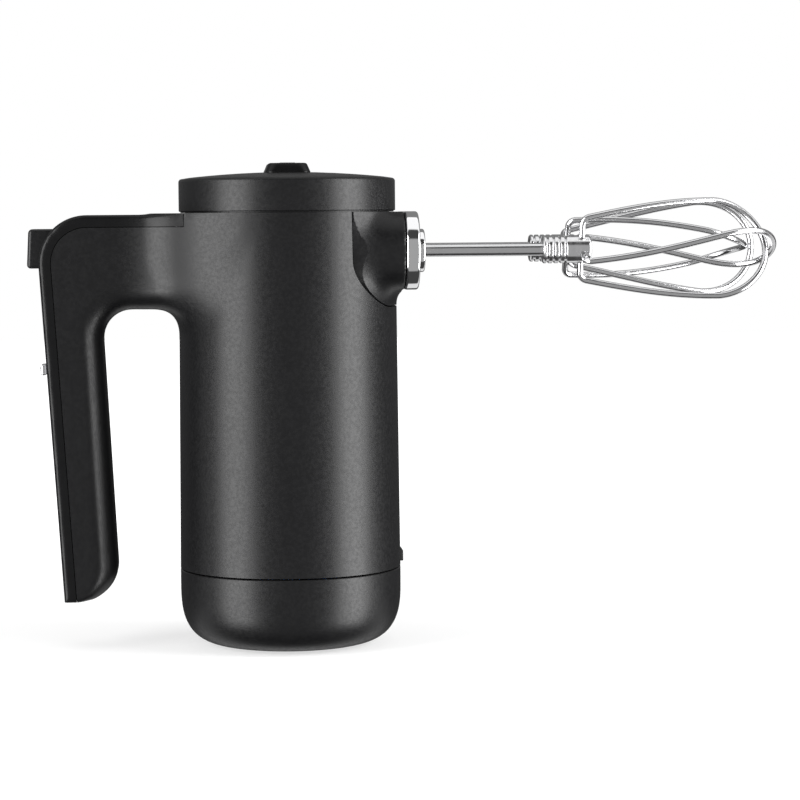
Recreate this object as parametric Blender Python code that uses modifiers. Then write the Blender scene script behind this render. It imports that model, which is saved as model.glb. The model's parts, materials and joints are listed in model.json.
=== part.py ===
"""Cordless hand mixer: an upright round housing with a free-ended handle, two whisks and a worm drive.

Frame: metres, +Z up, origin at the centre of the foot pad on the table, whisks along +X, handle at -X.
"""

import math

import bmesh
import bpy
from mathutils import Matrix, Vector

# Fits
CLEAR = 0.0003  # between two pieces that touch or are pressed together
RUN_FIT = 0.00035  # radial, between a turning piece and its bearing
SEAM = 0.0006  # open line between two outer covers

# Round housing
BASE_SEAM_Z = 0.0337
LID_SEAM_Z = 0.1900
RADIUS_TOP = 0.0473
RADIUS_BOTTOM = RADIUS_TOP + 0.0011
WALL = 0.0024
ROUND_SIDES = 48

# Base cap and foot
FLAT_RADIUS = RADIUS_BOTTOM - 0.0244
BASE_CURVE_HEIGHT = BASE_SEAM_Z - 0.0067
BASE_CURVE_POWER = 2.9
FOOT_RADIUS = FLAT_RADIUS - 0.0005
FOOT_DEPTH = 0.0018
FOOT_STEP = 0.0004

# Lid, its raised centre and the blank badge
LID_RIM_HEIGHT = 0.0145
LID_CROWN = 0.0025
LID_EDGE = 0.0025
BOSS_LENGTH = 0.0210
BOSS_WIDTH = 0.0340
BOSS_HEIGHT = 0.0038
BADGE_LENGTH = 0.0066
BADGE_WIDTH = 0.0200
BADGE_DEPTH = 0.0010

# Handle, drawn in the XZ plane
HANDLE_TOP_Z = LID_SEAM_Z - 0.0011
HANDLE_BACK_TOP_X = -RADIUS_TOP - 0.0605
HANDLE_BACK_TOP_Z = HANDLE_TOP_Z - 0.0213
HANDLE_BACK_LOW_X = HANDLE_BACK_TOP_X + 0.0090
HANDLE_LOW_Z = 0.0210
HANDLE_CORNER = 0.0208
HANDLE_WIDTH = 0.0300
COVER_DEPTH = 0.0060
COVER_END_X = -RADIUS_TOP + 0.0168
GRIP_DEPTH = 0.0190
GAP_TOP_Z = HANDLE_TOP_Z - 0.0411
GAP_RADIUS = 0.0125
GAP_INNER_X = HANDLE_BACK_TOP_X + 0.0283
GRIP_LOW_CURVE = 0.0110
GRIP_ROUND = 0.0085
GRIP_WALL = 0.0032
CHANNEL_END_X = HANDLE_BACK_TOP_X + 0.0378
PANEL_DEPTH = 0.0012
PANEL_WIDTH = 0.0190
PANEL_MARGIN = 0.0020

# Buttons
EJECT_Z = HANDLE_TOP_Z - 0.0144
EJECT_HEIGHT = 0.0170
EJECT_WIDTH = 0.0180
EJECT_DEPTH = 0.0130
EJECT_FACE_X = HANDLE_BACK_TOP_X - 0.0052
EJECT_TRAVEL = 0.0050
PUSHROD_RADIUS = 0.0024
ROD_COLLAR_RADIUS = 0.0042
ROD_COLLAR = 0.0015
SPRING_LENGTH = 0.0100
SPRING_RADIUS = 0.0036
SPRING_WIRE = 0.0005
SPRING_TURNS = 4
YOKE_X = -RADIUS_TOP + 0.0173
YOKE_DEPTH = 0.0030
PRONG_RADIUS = 0.0021
PIN_REAR_X = -0.0090
LEVER_Z = HANDLE_TOP_Z - 0.0668
LEVER_SIZE = 0.0050
LEVER_WIDTH = 0.0110
LEVER_PROUD = 0.0030
LEVER_TRAVEL = 0.0280
STEM_WIDTH = 0.0040
STEM_HEIGHT = 0.0030
SLIDER_DEPTH = 0.0035
SLIDER_GAP = 0.0030
BOARD_DEPTH = 0.0014

# Whisk drive: a two-start worm between two worm wheels
AXIS_Z = LID_SEAM_Z - 0.0174
SPACING = 0.0460
MODULE = 0.0015
WORM_STARTS = 2
WHEEL_TEETH = 24
WORM_PITCH_RADIUS = SPACING / 2 - MODULE * WHEEL_TEETH / 2
ADDENDUM = 0.0012
DEDENDUM = 0.0017
TOOTH_SHARE = 0.39
PRESSURE_ANGLE = math.radians(20)
WHEEL_FACE = 0.0080
WORM_LENGTH = 0.0250
SPINDLE_RADIUS = 0.0058
SHAFT_RADIUS = 0.00275
SPINDLE_REAR_X = -0.0190
BORE_CORNER = 0.0031
WHEEL_HUB_RADIUS = 0.0085
WHEEL_HUB_GAP = 0.0025
BUSH_WALL = 0.0022
BUSH_LENGTH = 0.0070
FRAME_WALL_X = 0.0140
FRAME_WALL = 0.0030
FRAME_Z = AXIS_Z - 0.0286
FRAME_TOP_Z = AXIS_Z + 0.0109

# Nose
NOSE_HALF_WIDTH = RADIUS_TOP - 0.0083
NOSE_LOW_Z = AXIS_Z - 0.0238
NOSE_CORNER = 0.0200
NECK_HALF_WIDTH = NOSE_HALF_WIDTH - 0.0007
NECK_HALF_HEIGHT = 0.0169
NECK_CORNER = 0.0166
NECK_WALL = 0.0028
NECK_FRONT_X = RADIUS_TOP + 0.0018
BEZEL_FRONT_X = NECK_FRONT_X + 0.0063
SPINDLE_FRONT_X = BEZEL_FRONT_X - 0.0024
BEZEL_WALL = 0.0030
SOCKET_PLATE = 0.0030
COLLAR_RADIUS = 0.0093
COLLAR_FRONT_X = BEZEL_FRONT_X + 0.0026

# Whisks
HUB_REAR_X = BEZEL_FRONT_X + 0.0540
HUB_FRONT_X = HUB_REAR_X + 0.0209
HUB_RADIUS = 0.00605
HUB_RIBS = 4
HUB_RIB_PITCH = 0.0026
HUB_GROOVE = 0.0009
SHAFT_REAR_X = 0.0160
WIRE_RADIUS = 0.00138
WIRE_END_RADIUS = 0.0034
WIRE_CROSS_GAP = 0.0005
WIRE_BEND = 0.0035
LOOP_START_X = HUB_FRONT_X - 0.0039
LOOP_START_RADIUS = 0.0147
LOOP_WIDE_X = LOOP_START_X + 0.0591
LOOP_WIDE_RADIUS = 0.0214
LOOP_TIP_X = LOOP_WIDE_X + 0.0250
LOOP_TWIST = math.radians(54)
LOOP_ANGLE_LEFT = math.radians(31)
LOOP_ANGLE_RIGHT = math.radians(202)

# Motor
MOTOR_RADIUS = 0.0210
MOTOR_LOW_Z = FRAME_Z - 0.0560
MOTOR_TOP_Z = FRAME_Z - 0.0040
MOTOR_WALL = 0.0016
MOTOR_SHAFT_RADIUS = 0.0016
ROTOR_RADIUS = 0.0130
MAGNET_DEPTH = 0.0040

# Battery, charging and base fixings
CELL_RADIUS = 0.0092
CELL_LENGTH = 0.0650
CELL_GAP = 0.0016
CELL_LOW_Z = 0.0110
TRAY_WALL = 0.0018
PORT_Z = BASE_SEAM_Z + 0.0047
PORT_HEIGHT = 0.0048
PORT_WIDTH = 0.0130
PORT_PROUD = 0.0010
PORT_FIT = 0.0005
PORT_FLAP_DEPTH = 0.0014
INLET_DEPTH = 0.0080
INLET_WIDTH = 0.0090
INLET_HEIGHT = 0.0032
TRAY_HEIGHT = 0.0055
SCREW_RADIUS = 0.0015
SCREW_HEAD = 0.0028
SCREW_HEAD_DEPTH = 0.0016
BASE_SCREW_RADIUS = 0.0195
BASE_SCREW_Z = 0.0024
BASE_SCREW_LENGTH = 0.0140
BASE_FLOOR_Z = 0.0062
MOUNT_RADIUS = 0.0300
MOUNT_SCREW_LENGTH = 0.0085

NAME = "hand_mixer"


def start_scene():
    for item in list(bpy.data.objects):
        bpy.data.objects.remove(item)
    parts = bpy.data.collections.new(NAME)
    cutters = bpy.data.collections.new(NAME + "_cutters")
    for group in (parts, cutters):
        bpy.context.scene.collection.children.link(group)
    return parts, cutters


PARTS, CUTTERS = start_scene()


def material(name, colour, roughness, metallic=0.0):
    made = bpy.data.materials.new(name)
    made.use_nodes = True
    shader = made.node_tree.nodes["Principled BSDF"]
    shader.inputs["Base Color"].default_value = (*colour, 1.0)
    shader.inputs["Roughness"].default_value = roughness
    shader.inputs["Metallic"].default_value = metallic
    return made


BODY_BLACK = material("body_black", (0.022, 0.022, 0.024), 0.45)
COVER_BLACK = material("cover_black", (0.014, 0.014, 0.015), 0.35)
RUBBER = material("foot_rubber", (0.03, 0.03, 0.03), 0.8)
CHROME = material("chrome", (0.75, 0.75, 0.76), 0.12, 1.0)
STEEL = material("steel", (0.60, 0.60, 0.60), 0.3, 1.0)
NYLON = material("white_nylon", (0.75, 0.74, 0.68), 0.5)
BRONZE = material("sintered_bronze", (0.45, 0.30, 0.16), 0.5, 1.0)
FRAME_GREY = material("frame_grey", (0.25, 0.26, 0.28), 0.5)
BOARD_GREEN = material("board_green", (0.02, 0.14, 0.06), 0.4)
CELL_BLUE = material("cell_blue", (0.03, 0.12, 0.35), 0.35)


# Building blocks


def add(name, mesh, finish, place=None, group=None):
    """An object that holds mesh, turned into a helper when it goes among the cutters."""
    item = bpy.data.objects.new(name, mesh)
    (group or PARTS).objects.link(item)
    if place is not None:
        item.matrix_world = place
    if group is CUTTERS:
        item.hide_render = True
        item.display_type = "WIRE"
    elif finish is not None:
        mesh.materials.clear()
        mesh.materials.append(finish)
    return item


def mesh_of(bm, name):
    bmesh.ops.recalc_face_normals(bm, faces=bm.faces)
    mesh = bpy.data.meshes.new(name)
    bm.to_mesh(mesh)
    bm.free()
    return mesh


def smooth(item, degrees=35):
    item.data.shade_smooth()
    item.data.set_sharp_from_angle(angle=math.radians(degrees))
    return item


def turned(axis):
    """The rotation that takes +Z to a world axis, X, Y or Z."""
    turns = {"X": Matrix.Rotation(math.pi / 2, 4, "Y"), "Y": Matrix.Rotation(-math.pi / 2, 4, "X")}
    return turns.get(axis, Matrix.Identity(4))


def at(x, y, z, axis="Z"):
    return Matrix.Translation((x, y, z)) @ turned(axis)


def cylinder(name, radius, start, length, axis="Z", finish=None, group=None, sides=24, top=None):
    """A cylinder, or a cone when top is given, from its start point along an axis."""
    bm = bmesh.new()
    end = radius if top is None else top
    bmesh.ops.create_cone(
        bm, cap_ends=True, segments=sides, radius1=radius, radius2=end, depth=length
    )
    bmesh.ops.translate(bm, vec=(0, 0, length / 2), verts=bm.verts)
    return add(name, mesh_of(bm, name), finish, at(*start, axis), group)


def block(name, low, high, finish=None, group=None, bevel=0.0, steps=2):
    """A box between two corners, with rounded edges where bevel is given."""
    size = Vector(high) - Vector(low)
    middle = (Vector(high) + Vector(low)) / 2
    bm = bmesh.new()
    bmesh.ops.create_cube(bm, size=1.0)
    bmesh.ops.scale(bm, vec=size, verts=bm.verts)
    item = add(name, mesh_of(bm, name), finish, Matrix.Translation(middle), group)
    if bevel:
        round_edges(item, bevel, steps)
    return item


def round_edges(item, width, steps=2, angle=30):
    edge = item.modifiers.new("round", "BEVEL")
    edge.width = width
    edge.segments = steps
    edge.limit_method = "ANGLE"
    edge.angle_limit = math.radians(angle)
    return edge


def turned_solid(name, profile, start=(0, 0, 0), axis="Z", finish=None, group=None, sides=ROUND_SIDES):
    """A solid of revolution from (radius, height) points; both ends on the axis, or a closed ring."""
    pairs = list(zip(profile, profile[1:] + profile[:1]))
    area = sum(r1 * z2 - r2 * z1 for (r1, z1), (r2, z2) in pairs)
    order = profile if area < 0 else profile[::-1]
    bm = bmesh.new()
    points = [bm.verts.new((radius, 0, height)) for radius, height in order]
    edges = [bm.edges.new(pair) for pair in zip(points, points[1:])]
    if min(radius for radius, _ in profile) > 0:
        edges.append(bm.edges.new((points[-1], points[0])))
    mesh = bpy.data.meshes.new(name)
    bm.to_mesh(mesh)
    bm.free()
    item = add(name, mesh, finish, at(*start, axis), group)
    screw_turn = item.modifiers.new("turn", "SCREW")
    screw_turn.steps = sides
    screw_turn.render_steps = sides
    screw_turn.use_merge_vertices = True
    screw_turn.merge_threshold = 1e-5
    return item


def ring(name, outer, inner, start, length, axis="Z", finish=None, group=None, sides=48):
    profile = [(outer, length), (outer, 0), (inner, 0), (inner, length)]
    return turned_solid(name, profile, start, axis, finish, group, sides)


PLANES = {
    "XZ": Matrix(((1, 0, 0, 0), (0, 0, -1, 0), (0, 1, 0, 0), (0, 0, 0, 1))),
    "YZ": Matrix(((0, 0, 1, 0), (1, 0, 0, 0), (0, 1, 0, 0), (0, 0, 0, 1))),
    "XY": Matrix.Identity(4),
}


def plate(name, outline, middle, thickness, plane="XZ", finish=None, group=None):
    """A flat outline given thickness: middle is its place along the plane's normal."""
    bm = bmesh.new()
    face = bm.faces.new([bm.verts.new((u, v, -thickness / 2)) for u, v in outline])
    grown = bmesh.ops.extrude_face_region(bm, geom=[face])
    corners = [item for item in grown["geom"] if isinstance(item, bmesh.types.BMVert)]
    bmesh.ops.translate(bm, vec=(0, 0, thickness), verts=corners)
    offset = -middle if plane == "XZ" else middle
    place = PLANES[plane] @ Matrix.Translation((0, 0, offset))
    return add(name, mesh_of(bm, name), finish, place, group)


def combine(item, other, how="DIFFERENCE"):
    """Cuts, joins or intersects item with another object, which becomes a helper."""
    for owner in list(other.users_collection):
        owner.objects.unlink(other)
    CUTTERS.objects.link(other)
    other.hide_render = True
    other.display_type = "WIRE"
    step = item.modifiers.new(how.lower(), "BOOLEAN")
    step.operation = how
    step.object = other
    return item


def arc(centre, radius, start, end, steps):
    """Points on an arc, angles in degrees, both ends included."""
    angles = [math.radians(start + (end - start) * i / steps) for i in range(steps + 1)]
    return [(centre[0] + radius * math.cos(a), centre[1] + radius * math.sin(a)) for a in angles]


def rounded_rectangle(half_u, half_v, corner, centre=(0, 0), steps=6):
    points = []
    for turn, (su, sv) in enumerate(((1, 1), (-1, 1), (-1, -1), (1, -1))):
        middle = (centre[0] + su * (half_u - corner), centre[1] + sv * (half_v - corner))
        points += arc(middle, corner, 90 * turn, 90 * turn + 90, steps)
    return points


# Shapes that several pieces share


def body_radius(z):
    """Outer radius of the tapered housing at a height."""
    share = (z - BASE_SEAM_Z) / (LID_SEAM_Z - BASE_SEAM_Z)
    return RADIUS_BOTTOM + (RADIUS_TOP - RADIUS_BOTTOM) * share


SLOPE = Vector((HANDLE_BACK_LOW_X - HANDLE_BACK_TOP_X, 0, HANDLE_LOW_Z - HANDLE_BACK_TOP_Z)).normalized()
INWARD = Vector((-SLOPE.z, 0, SLOPE.x))


def back_point(z, depth):
    """A point (x, z) at a depth under the handle's back line, measured square to it."""
    along = (z - HANDLE_BACK_TOP_Z) / SLOPE.z
    x = HANDLE_BACK_TOP_X + along * SLOPE.x
    return (x + depth / INWARD.x, z)


CORNER_START = math.degrees(math.atan2(SLOPE.x, -SLOPE.z)) + 180


def corner_centre():
    """Centre of the handle's outer corner, tangent to its top and back lines."""
    z = HANDLE_TOP_Z - HANDLE_CORNER
    return (back_point(z, HANDLE_CORNER)[0], z)


def back_line(depth, low_z, end_x, steps=8):
    """The handle's outer line at a depth: along the top, round the corner and down the back."""
    centre = corner_centre()
    bend = arc(centre, HANDLE_CORNER - depth, 90, CORNER_START, steps)
    return [(end_x, HANDLE_TOP_Z - depth)] + bend + [back_point(low_z, depth)]


def nose_outline(grow):
    half = NOSE_HALF_WIDTH + grow
    low = NOSE_LOW_Z - grow
    corner = NOSE_CORNER + grow
    left = arc((-half + corner, low + corner), corner, 180, 270, 10)
    right = arc((half - corner, low + corner), corner, 270, 360, 10)
    top = LID_SEAM_Z - SEAM + grow * 2
    return [(-half, top)] + left + right + [(half, top)]


def neck_outline(inset=0.0):
    return rounded_rectangle(
        NECK_HALF_WIDTH - inset,
        NECK_HALF_HEIGHT - inset,
        NECK_CORNER - inset,
        (0, AXIS_Z),
        5,
    )


def sides():
    """The left and right whisk, at +Y and -Y."""
    return (("left", SPACING / 2), ("right", -SPACING / 2))


# Housing


def grip_outline():
    """Side view of the bridge and the grip under the handle cover."""
    under = COVER_DEPTH + CLEAR
    back = back_line(under, HANDLE_LOW_Z + 0.0015, COVER_END_X)
    low_x = back[-1][0]
    inner_x = GAP_INNER_X + 0.0035
    foot = [(low_x + 0.0020, HANDLE_LOW_Z)]
    foot += arc((inner_x - GRIP_LOW_CURVE, HANDLE_LOW_Z + GRIP_LOW_CURVE + 0.003), GRIP_LOW_CURVE, -80, 0, 6)
    inner_top = GAP_INNER_X - 0.0005
    left_arch = arc((inner_top + GAP_RADIUS, GAP_TOP_Z - GAP_RADIUS), GAP_RADIUS, 180, 90, 6)
    wall_x = -body_radius(GAP_TOP_Z) + 0.0010
    right_arch = arc((wall_x - GAP_RADIUS, GAP_TOP_Z - GAP_RADIUS), GAP_RADIUS, 90, 0, 6)
    inside = [(wall_x + 0.004, GAP_TOP_Z - GAP_RADIUS), (COVER_END_X, GAP_TOP_Z - GAP_RADIUS)]
    return back + foot + left_arch + right_arch + inside


def handle_solid():
    grip = plate("grip", grip_outline(), 0, HANDLE_WIDTH, "XZ", BODY_BLACK)
    round_edges(grip, GRIP_ROUND, 3, 60)
    return grip


def main_housing():
    """One moulding: the tapered tube, the bridge and the grip."""
    top = LID_SEAM_Z - SEAM
    low = BASE_SEAM_Z + SEAM
    profile = [
        (body_radius(top), top),
        (body_radius(low), low),
        (body_radius(low) - WALL, low),
        (body_radius(top) - WALL, top),
    ]
    tube = turned_solid("main_housing", profile, finish=BODY_BLACK)
    combine(tube, handle_solid(), "UNION")
    bore = [(body_radius(top) - WALL, top + WALL), (body_radius(low) - WALL, low - WALL), (0, low - WALL)]
    combine(tube, turned_solid("housing_bore", [(0, top + WALL)] + bore, group=CUTTERS))
    combine(tube, grip_channel())
    combine(tube, plate("nose_window", nose_outline(SEAM), 0.05, 0.06, "YZ", group=CUTTERS))
    combine(tube, port_window())
    reach = RUN_FIT + PUSHROD_RADIUS
    combine(tube, cylinder("rod_bore", reach, (-0.1, 0, EJECT_Z), 0.1, "X", group=CUTTERS))
    return tube


def grip_channel():
    """The hollow inside the grip and the bridge, open to the back under the handle cover."""
    half = max(HANDLE_WIDTH / 2 - GRIP_WALL - 0.002, EJECT_WIDTH / 2 + 0.0008)
    low = HANDLE_LOW_Z + 0.012
    outer = back_line(COVER_DEPTH - 0.002, low, CHANNEL_END_X)
    inner = back_line(COVER_DEPTH + GRIP_DEPTH - GRIP_WALL * 1.6, low, CHANNEL_END_X, 3)
    return plate("grip_channel", outer + inner[::-1], 0, half * 2, "XZ", group=CUTTERS)


def port_window():
    low_z = PORT_Z - PORT_HEIGHT / 2 - PORT_FIT
    high_z = PORT_Z + PORT_HEIGHT / 2 + PORT_FIT
    half = PORT_WIDTH / 2 + PORT_FIT
    x = body_radius(PORT_Z)
    return block("port_window", (x - 0.006, -half, low_z), (x + 0.006, half, high_z), group=CUTTERS)


def handle_cover():
    """The strip that closes the handle from the lid, round the corner and down the back."""
    outer = back_line(PANEL_DEPTH + CLEAR, HANDLE_LOW_Z, COVER_END_X)
    inner = back_line(COVER_DEPTH, HANDLE_LOW_Z, COVER_END_X)
    strip = plate("handle_cover", outer + inner[::-1], 0, HANDLE_WIDTH - 0.001, "XZ", COVER_BLACK)
    round_edges(strip, 0.0012, 2, 60)
    rim = plate_rim()
    combine(strip, rim, "UNION")
    combine(strip, eject_opening("cover_eject_opening"))
    combine(strip, lever_slot("cover_lever_slot"))
    seat = ring_wall_cutter()
    return combine(strip, seat)


def plate_rim():
    """The cover's full-depth edge over the bridge, where no panel lies on it."""
    end = corner_centre()[0] + 0.004
    points = [(end, HANDLE_TOP_Z), (COVER_END_X, HANDLE_TOP_Z)]
    points += [(COVER_END_X, HANDLE_TOP_Z - COVER_DEPTH + 0.0005), (end, HANDLE_TOP_Z - COVER_DEPTH + 0.0005)]
    rim = plate("cover_top", points, 0, HANDLE_WIDTH - 0.001, "XZ", COVER_BLACK)
    round_edges(rim, 0.0010, 2, 60)
    return rim


def ring_wall_cutter():
    """Keeps the cover off the housing tube where it runs onto the round body."""
    top = LID_SEAM_Z + 0.002
    low = HANDLE_TOP_Z - 0.02
    radius = body_radius(LID_SEAM_Z) + CLEAR
    return cylinder("cover_body_cutter", radius, (0, 0, low), top - low, group=CUTTERS, sides=ROUND_SIDES)


def eject_opening(name):
    half = EJECT_WIDTH / 2 + CLEAR
    tall = EJECT_HEIGHT / 2 + CLEAR
    low = (EJECT_FACE_X - 0.004, -half, EJECT_Z - tall)
    return block(name, low, (EJECT_FACE_X + EJECT_DEPTH + 0.02, half, EJECT_Z + tall), group=CUTTERS)


def along_back(z, depth, low, high, half_width, name, finish=None, group=None, bevel=0.0):
    """A block square to the handle's back line: low and high are its ends along that line."""
    x, _ = back_point(z, 0)
    place = Matrix.Translation((x, 0, z)) @ Matrix.Rotation(math.atan2(-SLOPE.x, -SLOPE.z), 4, "Y")
    item = block(name, (depth[0], -half_width, low), (depth[1], half_width, high), finish, group, bevel)
    item.matrix_world = place @ item.matrix_world
    return item


def lever_slot(name):
    low = -STEM_HEIGHT / 2 - CLEAR
    high = STEM_HEIGHT / 2 + CLEAR + LEVER_TRAVEL
    return along_back(LEVER_Z, (-0.004, 0.009), low, high, STEM_WIDTH / 2 + CLEAR, name, group=CUTTERS)


def control_panel():
    """The thin overlay on the cover's back, from under the eject button to the foot."""
    top = EJECT_Z - EJECT_HEIGHT / 2 - PANEL_MARGIN
    low = HANDLE_LOW_Z + PANEL_MARGIN
    middle = (top + low) / 2
    half = (top - low) / 2
    sheet = along_back(middle, (0, PANEL_DEPTH), -half, half, PANEL_WIDTH / 2, "control_panel", COVER_BLACK)
    round_edges(sheet, 0.0003, 1)
    return combine(sheet, lever_slot("panel_lever_slot"))


def eject_button():
    half = EJECT_WIDTH / 2
    tall = EJECT_HEIGHT / 2
    low = (EJECT_FACE_X, -half, EJECT_Z - tall)
    high = (EJECT_FACE_X + EJECT_DEPTH, half, EJECT_Z + tall)
    return block("eject_button", low, high, COVER_BLACK, bevel=0.0015)


def spring_start():
    return CHANNEL_END_X - CLEAR - SPRING_LENGTH


def ejector():
    """The rod from the button, the yoke it carries, and the pins that push the whisk shafts."""
    start = EJECT_FACE_X + EJECT_DEPTH + CLEAR
    end = YOKE_X - CLEAR
    rod = cylinder("eject_pushrod", PUSHROD_RADIUS, (start, 0, EJECT_Z), end - start, "X", STEEL, sides=20)
    place = (spring_start() - CLEAR - ROD_COLLAR, 0, EJECT_Z)
    collar = cylinder("rod_collar", ROD_COLLAR_RADIUS, place, ROD_COLLAR, "X", STEEL, sides=20)
    combine(rod, collar, "UNION")
    half = SPACING / 2 + PRONG_RADIUS + 0.002
    low = (YOKE_X, -half, AXIS_Z - PRONG_RADIUS - 0.002)
    high = (YOKE_X + YOKE_DEPTH, half, EJECT_Z + PUSHROD_RADIUS + 0.002)
    yoke = block("ejector_yoke", low, high, FRAME_GREY)
    root = YOKE_X + YOKE_DEPTH / 2
    reach = PIN_REAR_X - CLEAR - root
    for side, y in sides():
        prong = cylinder("prong_" + side, PRONG_RADIUS, (root, y, AXIS_Z), reach, "X", FRAME_GREY, sides=16)
        combine(yoke, prong, "UNION")
        length = SHAFT_REAR_X - CLEAR - PIN_REAR_X
        cylinder("push_pin_" + side, PRONG_RADIUS, (PIN_REAR_X, y, AXIS_Z), length, "X", STEEL, sides=16)


def eject_spring():
    """Return spring round the push rod, between the rod's collar and the end of the hollow grip."""
    per_turn = 8
    pitch = (SPRING_LENGTH - 2 * SPRING_WIRE) / SPRING_TURNS
    points = []
    for i in range(SPRING_TURNS * per_turn + 1):
        angle = 2 * math.pi * i / per_turn
        x = spring_start() + SPRING_WIRE + pitch * i / per_turn
        points.append((x, SPRING_RADIUS * math.cos(angle), EJECT_Z + SPRING_RADIUS * math.sin(angle)))
    return wire("eject_spring", points, SPRING_WIRE, STEEL, 0)


def wire(name, points, radius, finish, resolution=2):
    curve = bpy.data.curves.new(name, "CURVE")
    curve.dimensions = "3D"
    curve.bevel_depth = radius
    curve.bevel_resolution = resolution
    curve.use_fill_caps = True
    line = curve.splines.new("POLY")
    line.points.add(len(points) - 1)
    for point, place in zip(line.points, points):
        point.co = (*place, 1)
    curve.materials.append(finish)
    item = bpy.data.objects.new(name, curve)
    PARTS.objects.link(item)
    return item


def speed_lever():
    """The bright thumb lever, its stem through the slot, and the slider that the stem moves."""
    half = LEVER_SIZE / 2
    nub = along_back(
        LEVER_Z, (-LEVER_PROUD, -CLEAR), -half, half, LEVER_WIDTH / 2, "speed_lever", CHROME, bevel=0.0008
    )
    tall = STEM_HEIGHT / 2
    deep = COVER_DEPTH + SLIDER_GAP
    stem = along_back(LEVER_Z, (-0.001, deep), -tall, tall, STEM_WIDTH / 2, "lever_stem", CHROME)
    combine(nub, stem, "UNION")
    deep += CLEAR
    along_back(LEVER_Z, (deep, deep + SLIDER_DEPTH), -0.004, 0.004, 0.005, "speed_slider", NYLON)


def control_board():
    deep = COVER_DEPTH + SLIDER_GAP + SLIDER_DEPTH + CLEAR * 2
    half = LEVER_TRAVEL / 2 + 0.014
    middle = LEVER_Z + LEVER_TRAVEL / 2
    across = HANDLE_WIDTH / 2 - GRIP_WALL - 0.0025
    along_back(middle, (deep, deep + BOARD_DEPTH), -half, half, across, "control_board", BOARD_GREEN)





def lid():
    """Shallow cap with a rounded rim, a slight crown and a hollow underside."""
    low = LID_SEAM_Z
    high = low + LID_RIM_HEIGHT
    radius = RADIUS_TOP
    crown = [
        (0, high + LID_CROWN),
        (radius * 0.4, high + LID_CROWN * 0.84),
        (radius * 0.75, high + LID_CROWN * 0.4),
    ]
    rim = arc((radius - LID_EDGE, high - LID_EDGE), LID_EDGE, 80, 0, 3)
    inner = radius - WALL
    skirt = [(radius, low), (inner, low), (inner, high - WALL - 0.001), (inner - 0.003, high - WALL)]
    profile = crown + rim + skirt + [(0, high + LID_CROWN - WALL)]
    return turned_solid("lid", profile, finish=BODY_BLACK)


def lid_top():
    return LID_SEAM_Z + LID_RIM_HEIGHT + LID_CROWN


def badge():
    """Raised centre of the lid with a blank bright plate let into it."""
    low = lid_top() + CLEAR
    top = low + BOSS_HEIGHT - CLEAR
    bm = bmesh.new()
    bmesh.ops.create_cube(bm, size=1.0)
    bmesh.ops.scale(bm, vec=(BOSS_LENGTH, BOSS_WIDTH, top - low), verts=bm.verts)
    for corner in bm.verts:
        if corner.co.z > 0:
            corner.co.x *= 0.82
            corner.co.y *= 0.88
    boss = add(
        "badge_boss", mesh_of(bm, "badge_boss"), COVER_BLACK, Matrix.Translation((0, 0, (top + low) / 2))
    )
    round_edges(boss, 0.0010, 2)
    u = BADGE_LENGTH / 2
    v = BADGE_WIDTH / 2
    floor = top - BADGE_DEPTH + 0.0003
    cut = block(
        "badge_seat",
        (-u - CLEAR, -v - CLEAR, floor - CLEAR),
        (u + CLEAR, v + CLEAR, top + 0.002),
        group=CUTTERS,
    )
    combine(boss, cut)
    block("badge_plate", (-u, -v, floor), (u, v, top + 0.0003), CHROME, bevel=0.0002)


def nose_panel():
    """Front cover let into the housing, with the neck that carries the bright bezel."""
    top = LID_SEAM_Z + 0.01
    low = NOSE_LOW_Z - 0.01
    shell = [
        (body_radius(top), top),
        (body_radius(low), low),
        (body_radius(low) - WALL, low),
        (body_radius(top) - WALL, top),
    ]
    panel = turned_solid("nose_panel", shell, finish=BODY_BLACK)
    combine(panel, plate("nose_outline", nose_outline(0), 0.04, 0.06, "YZ", group=CUTTERS), "INTERSECT")
    rear = 0.0265
    neck = plate("neck", neck_outline(), (rear + NECK_FRONT_X) / 2, NECK_FRONT_X - rear, "YZ", BODY_BLACK)
    combine(panel, neck, "UNION")
    hollow = plate("neck_hollow", neck_outline(NECK_WALL), 0.04, 0.06, "YZ", group=CUTTERS)
    combine(panel, hollow)
    inner = body_radius(low) - WALL
    return combine(
        panel, cylinder("nose_bore", inner, (0, 0, low - 0.001), top - low, group=CUTTERS, sides=ROUND_SIDES)
    )


def nose_bezel():
    rear = NECK_FRONT_X + CLEAR
    middle = (rear + BEZEL_FRONT_X) / 2
    bezel = plate("nose_bezel", neck_outline(), middle, BEZEL_FRONT_X - rear, "YZ", CHROME)
    round_edges(bezel, 0.0008, 2, 60)
    hollow = plate("bezel_hollow", neck_outline(BEZEL_WALL), middle, 0.02, "YZ", group=CUTTERS)
    return combine(bezel, hollow)


def socket_plate():
    """Bright plate inside the bezel, with a chamfered collar round each whisk socket."""
    front = BEZEL_FRONT_X - 0.0006
    rear = front - SOCKET_PLATE
    face = plate(
        "socket_plate", neck_outline(BEZEL_WALL + CLEAR), (front + rear) / 2, front - rear, "YZ", CHROME
    )
    for side, y in sides():
        chamfer = 0.0007
        length = COLLAR_FRONT_X - rear
        profile = [(0, length), (COLLAR_RADIUS - chamfer, length), (COLLAR_RADIUS, length - chamfer)]
        profile += [(COLLAR_RADIUS, 0.0005), (0, 0.0005)]
        combine(
            face, turned_solid("collar_" + side, profile, (rear, y, AXIS_Z), "X", CHROME, sides=24), "UNION"
        )
    for side, y in sides():
        seat = SPINDLE_RADIUS + RUN_FIT
        rear_x = rear - 0.001
        spindle_end = SPINDLE_FRONT_X + RUN_FIT
        if spindle_end > rear_x:
            combine(
                face,
                cylinder("seat_" + side, seat, (rear_x, y, AXIS_Z), spindle_end - rear_x, "X", group=CUTTERS),
            )
        hole = SHAFT_RADIUS + RUN_FIT
        combine(face, cylinder("socket_" + side, hole, (rear_x, y, AXIS_Z), 0.01, "X", group=CUTTERS))
    return face


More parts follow.
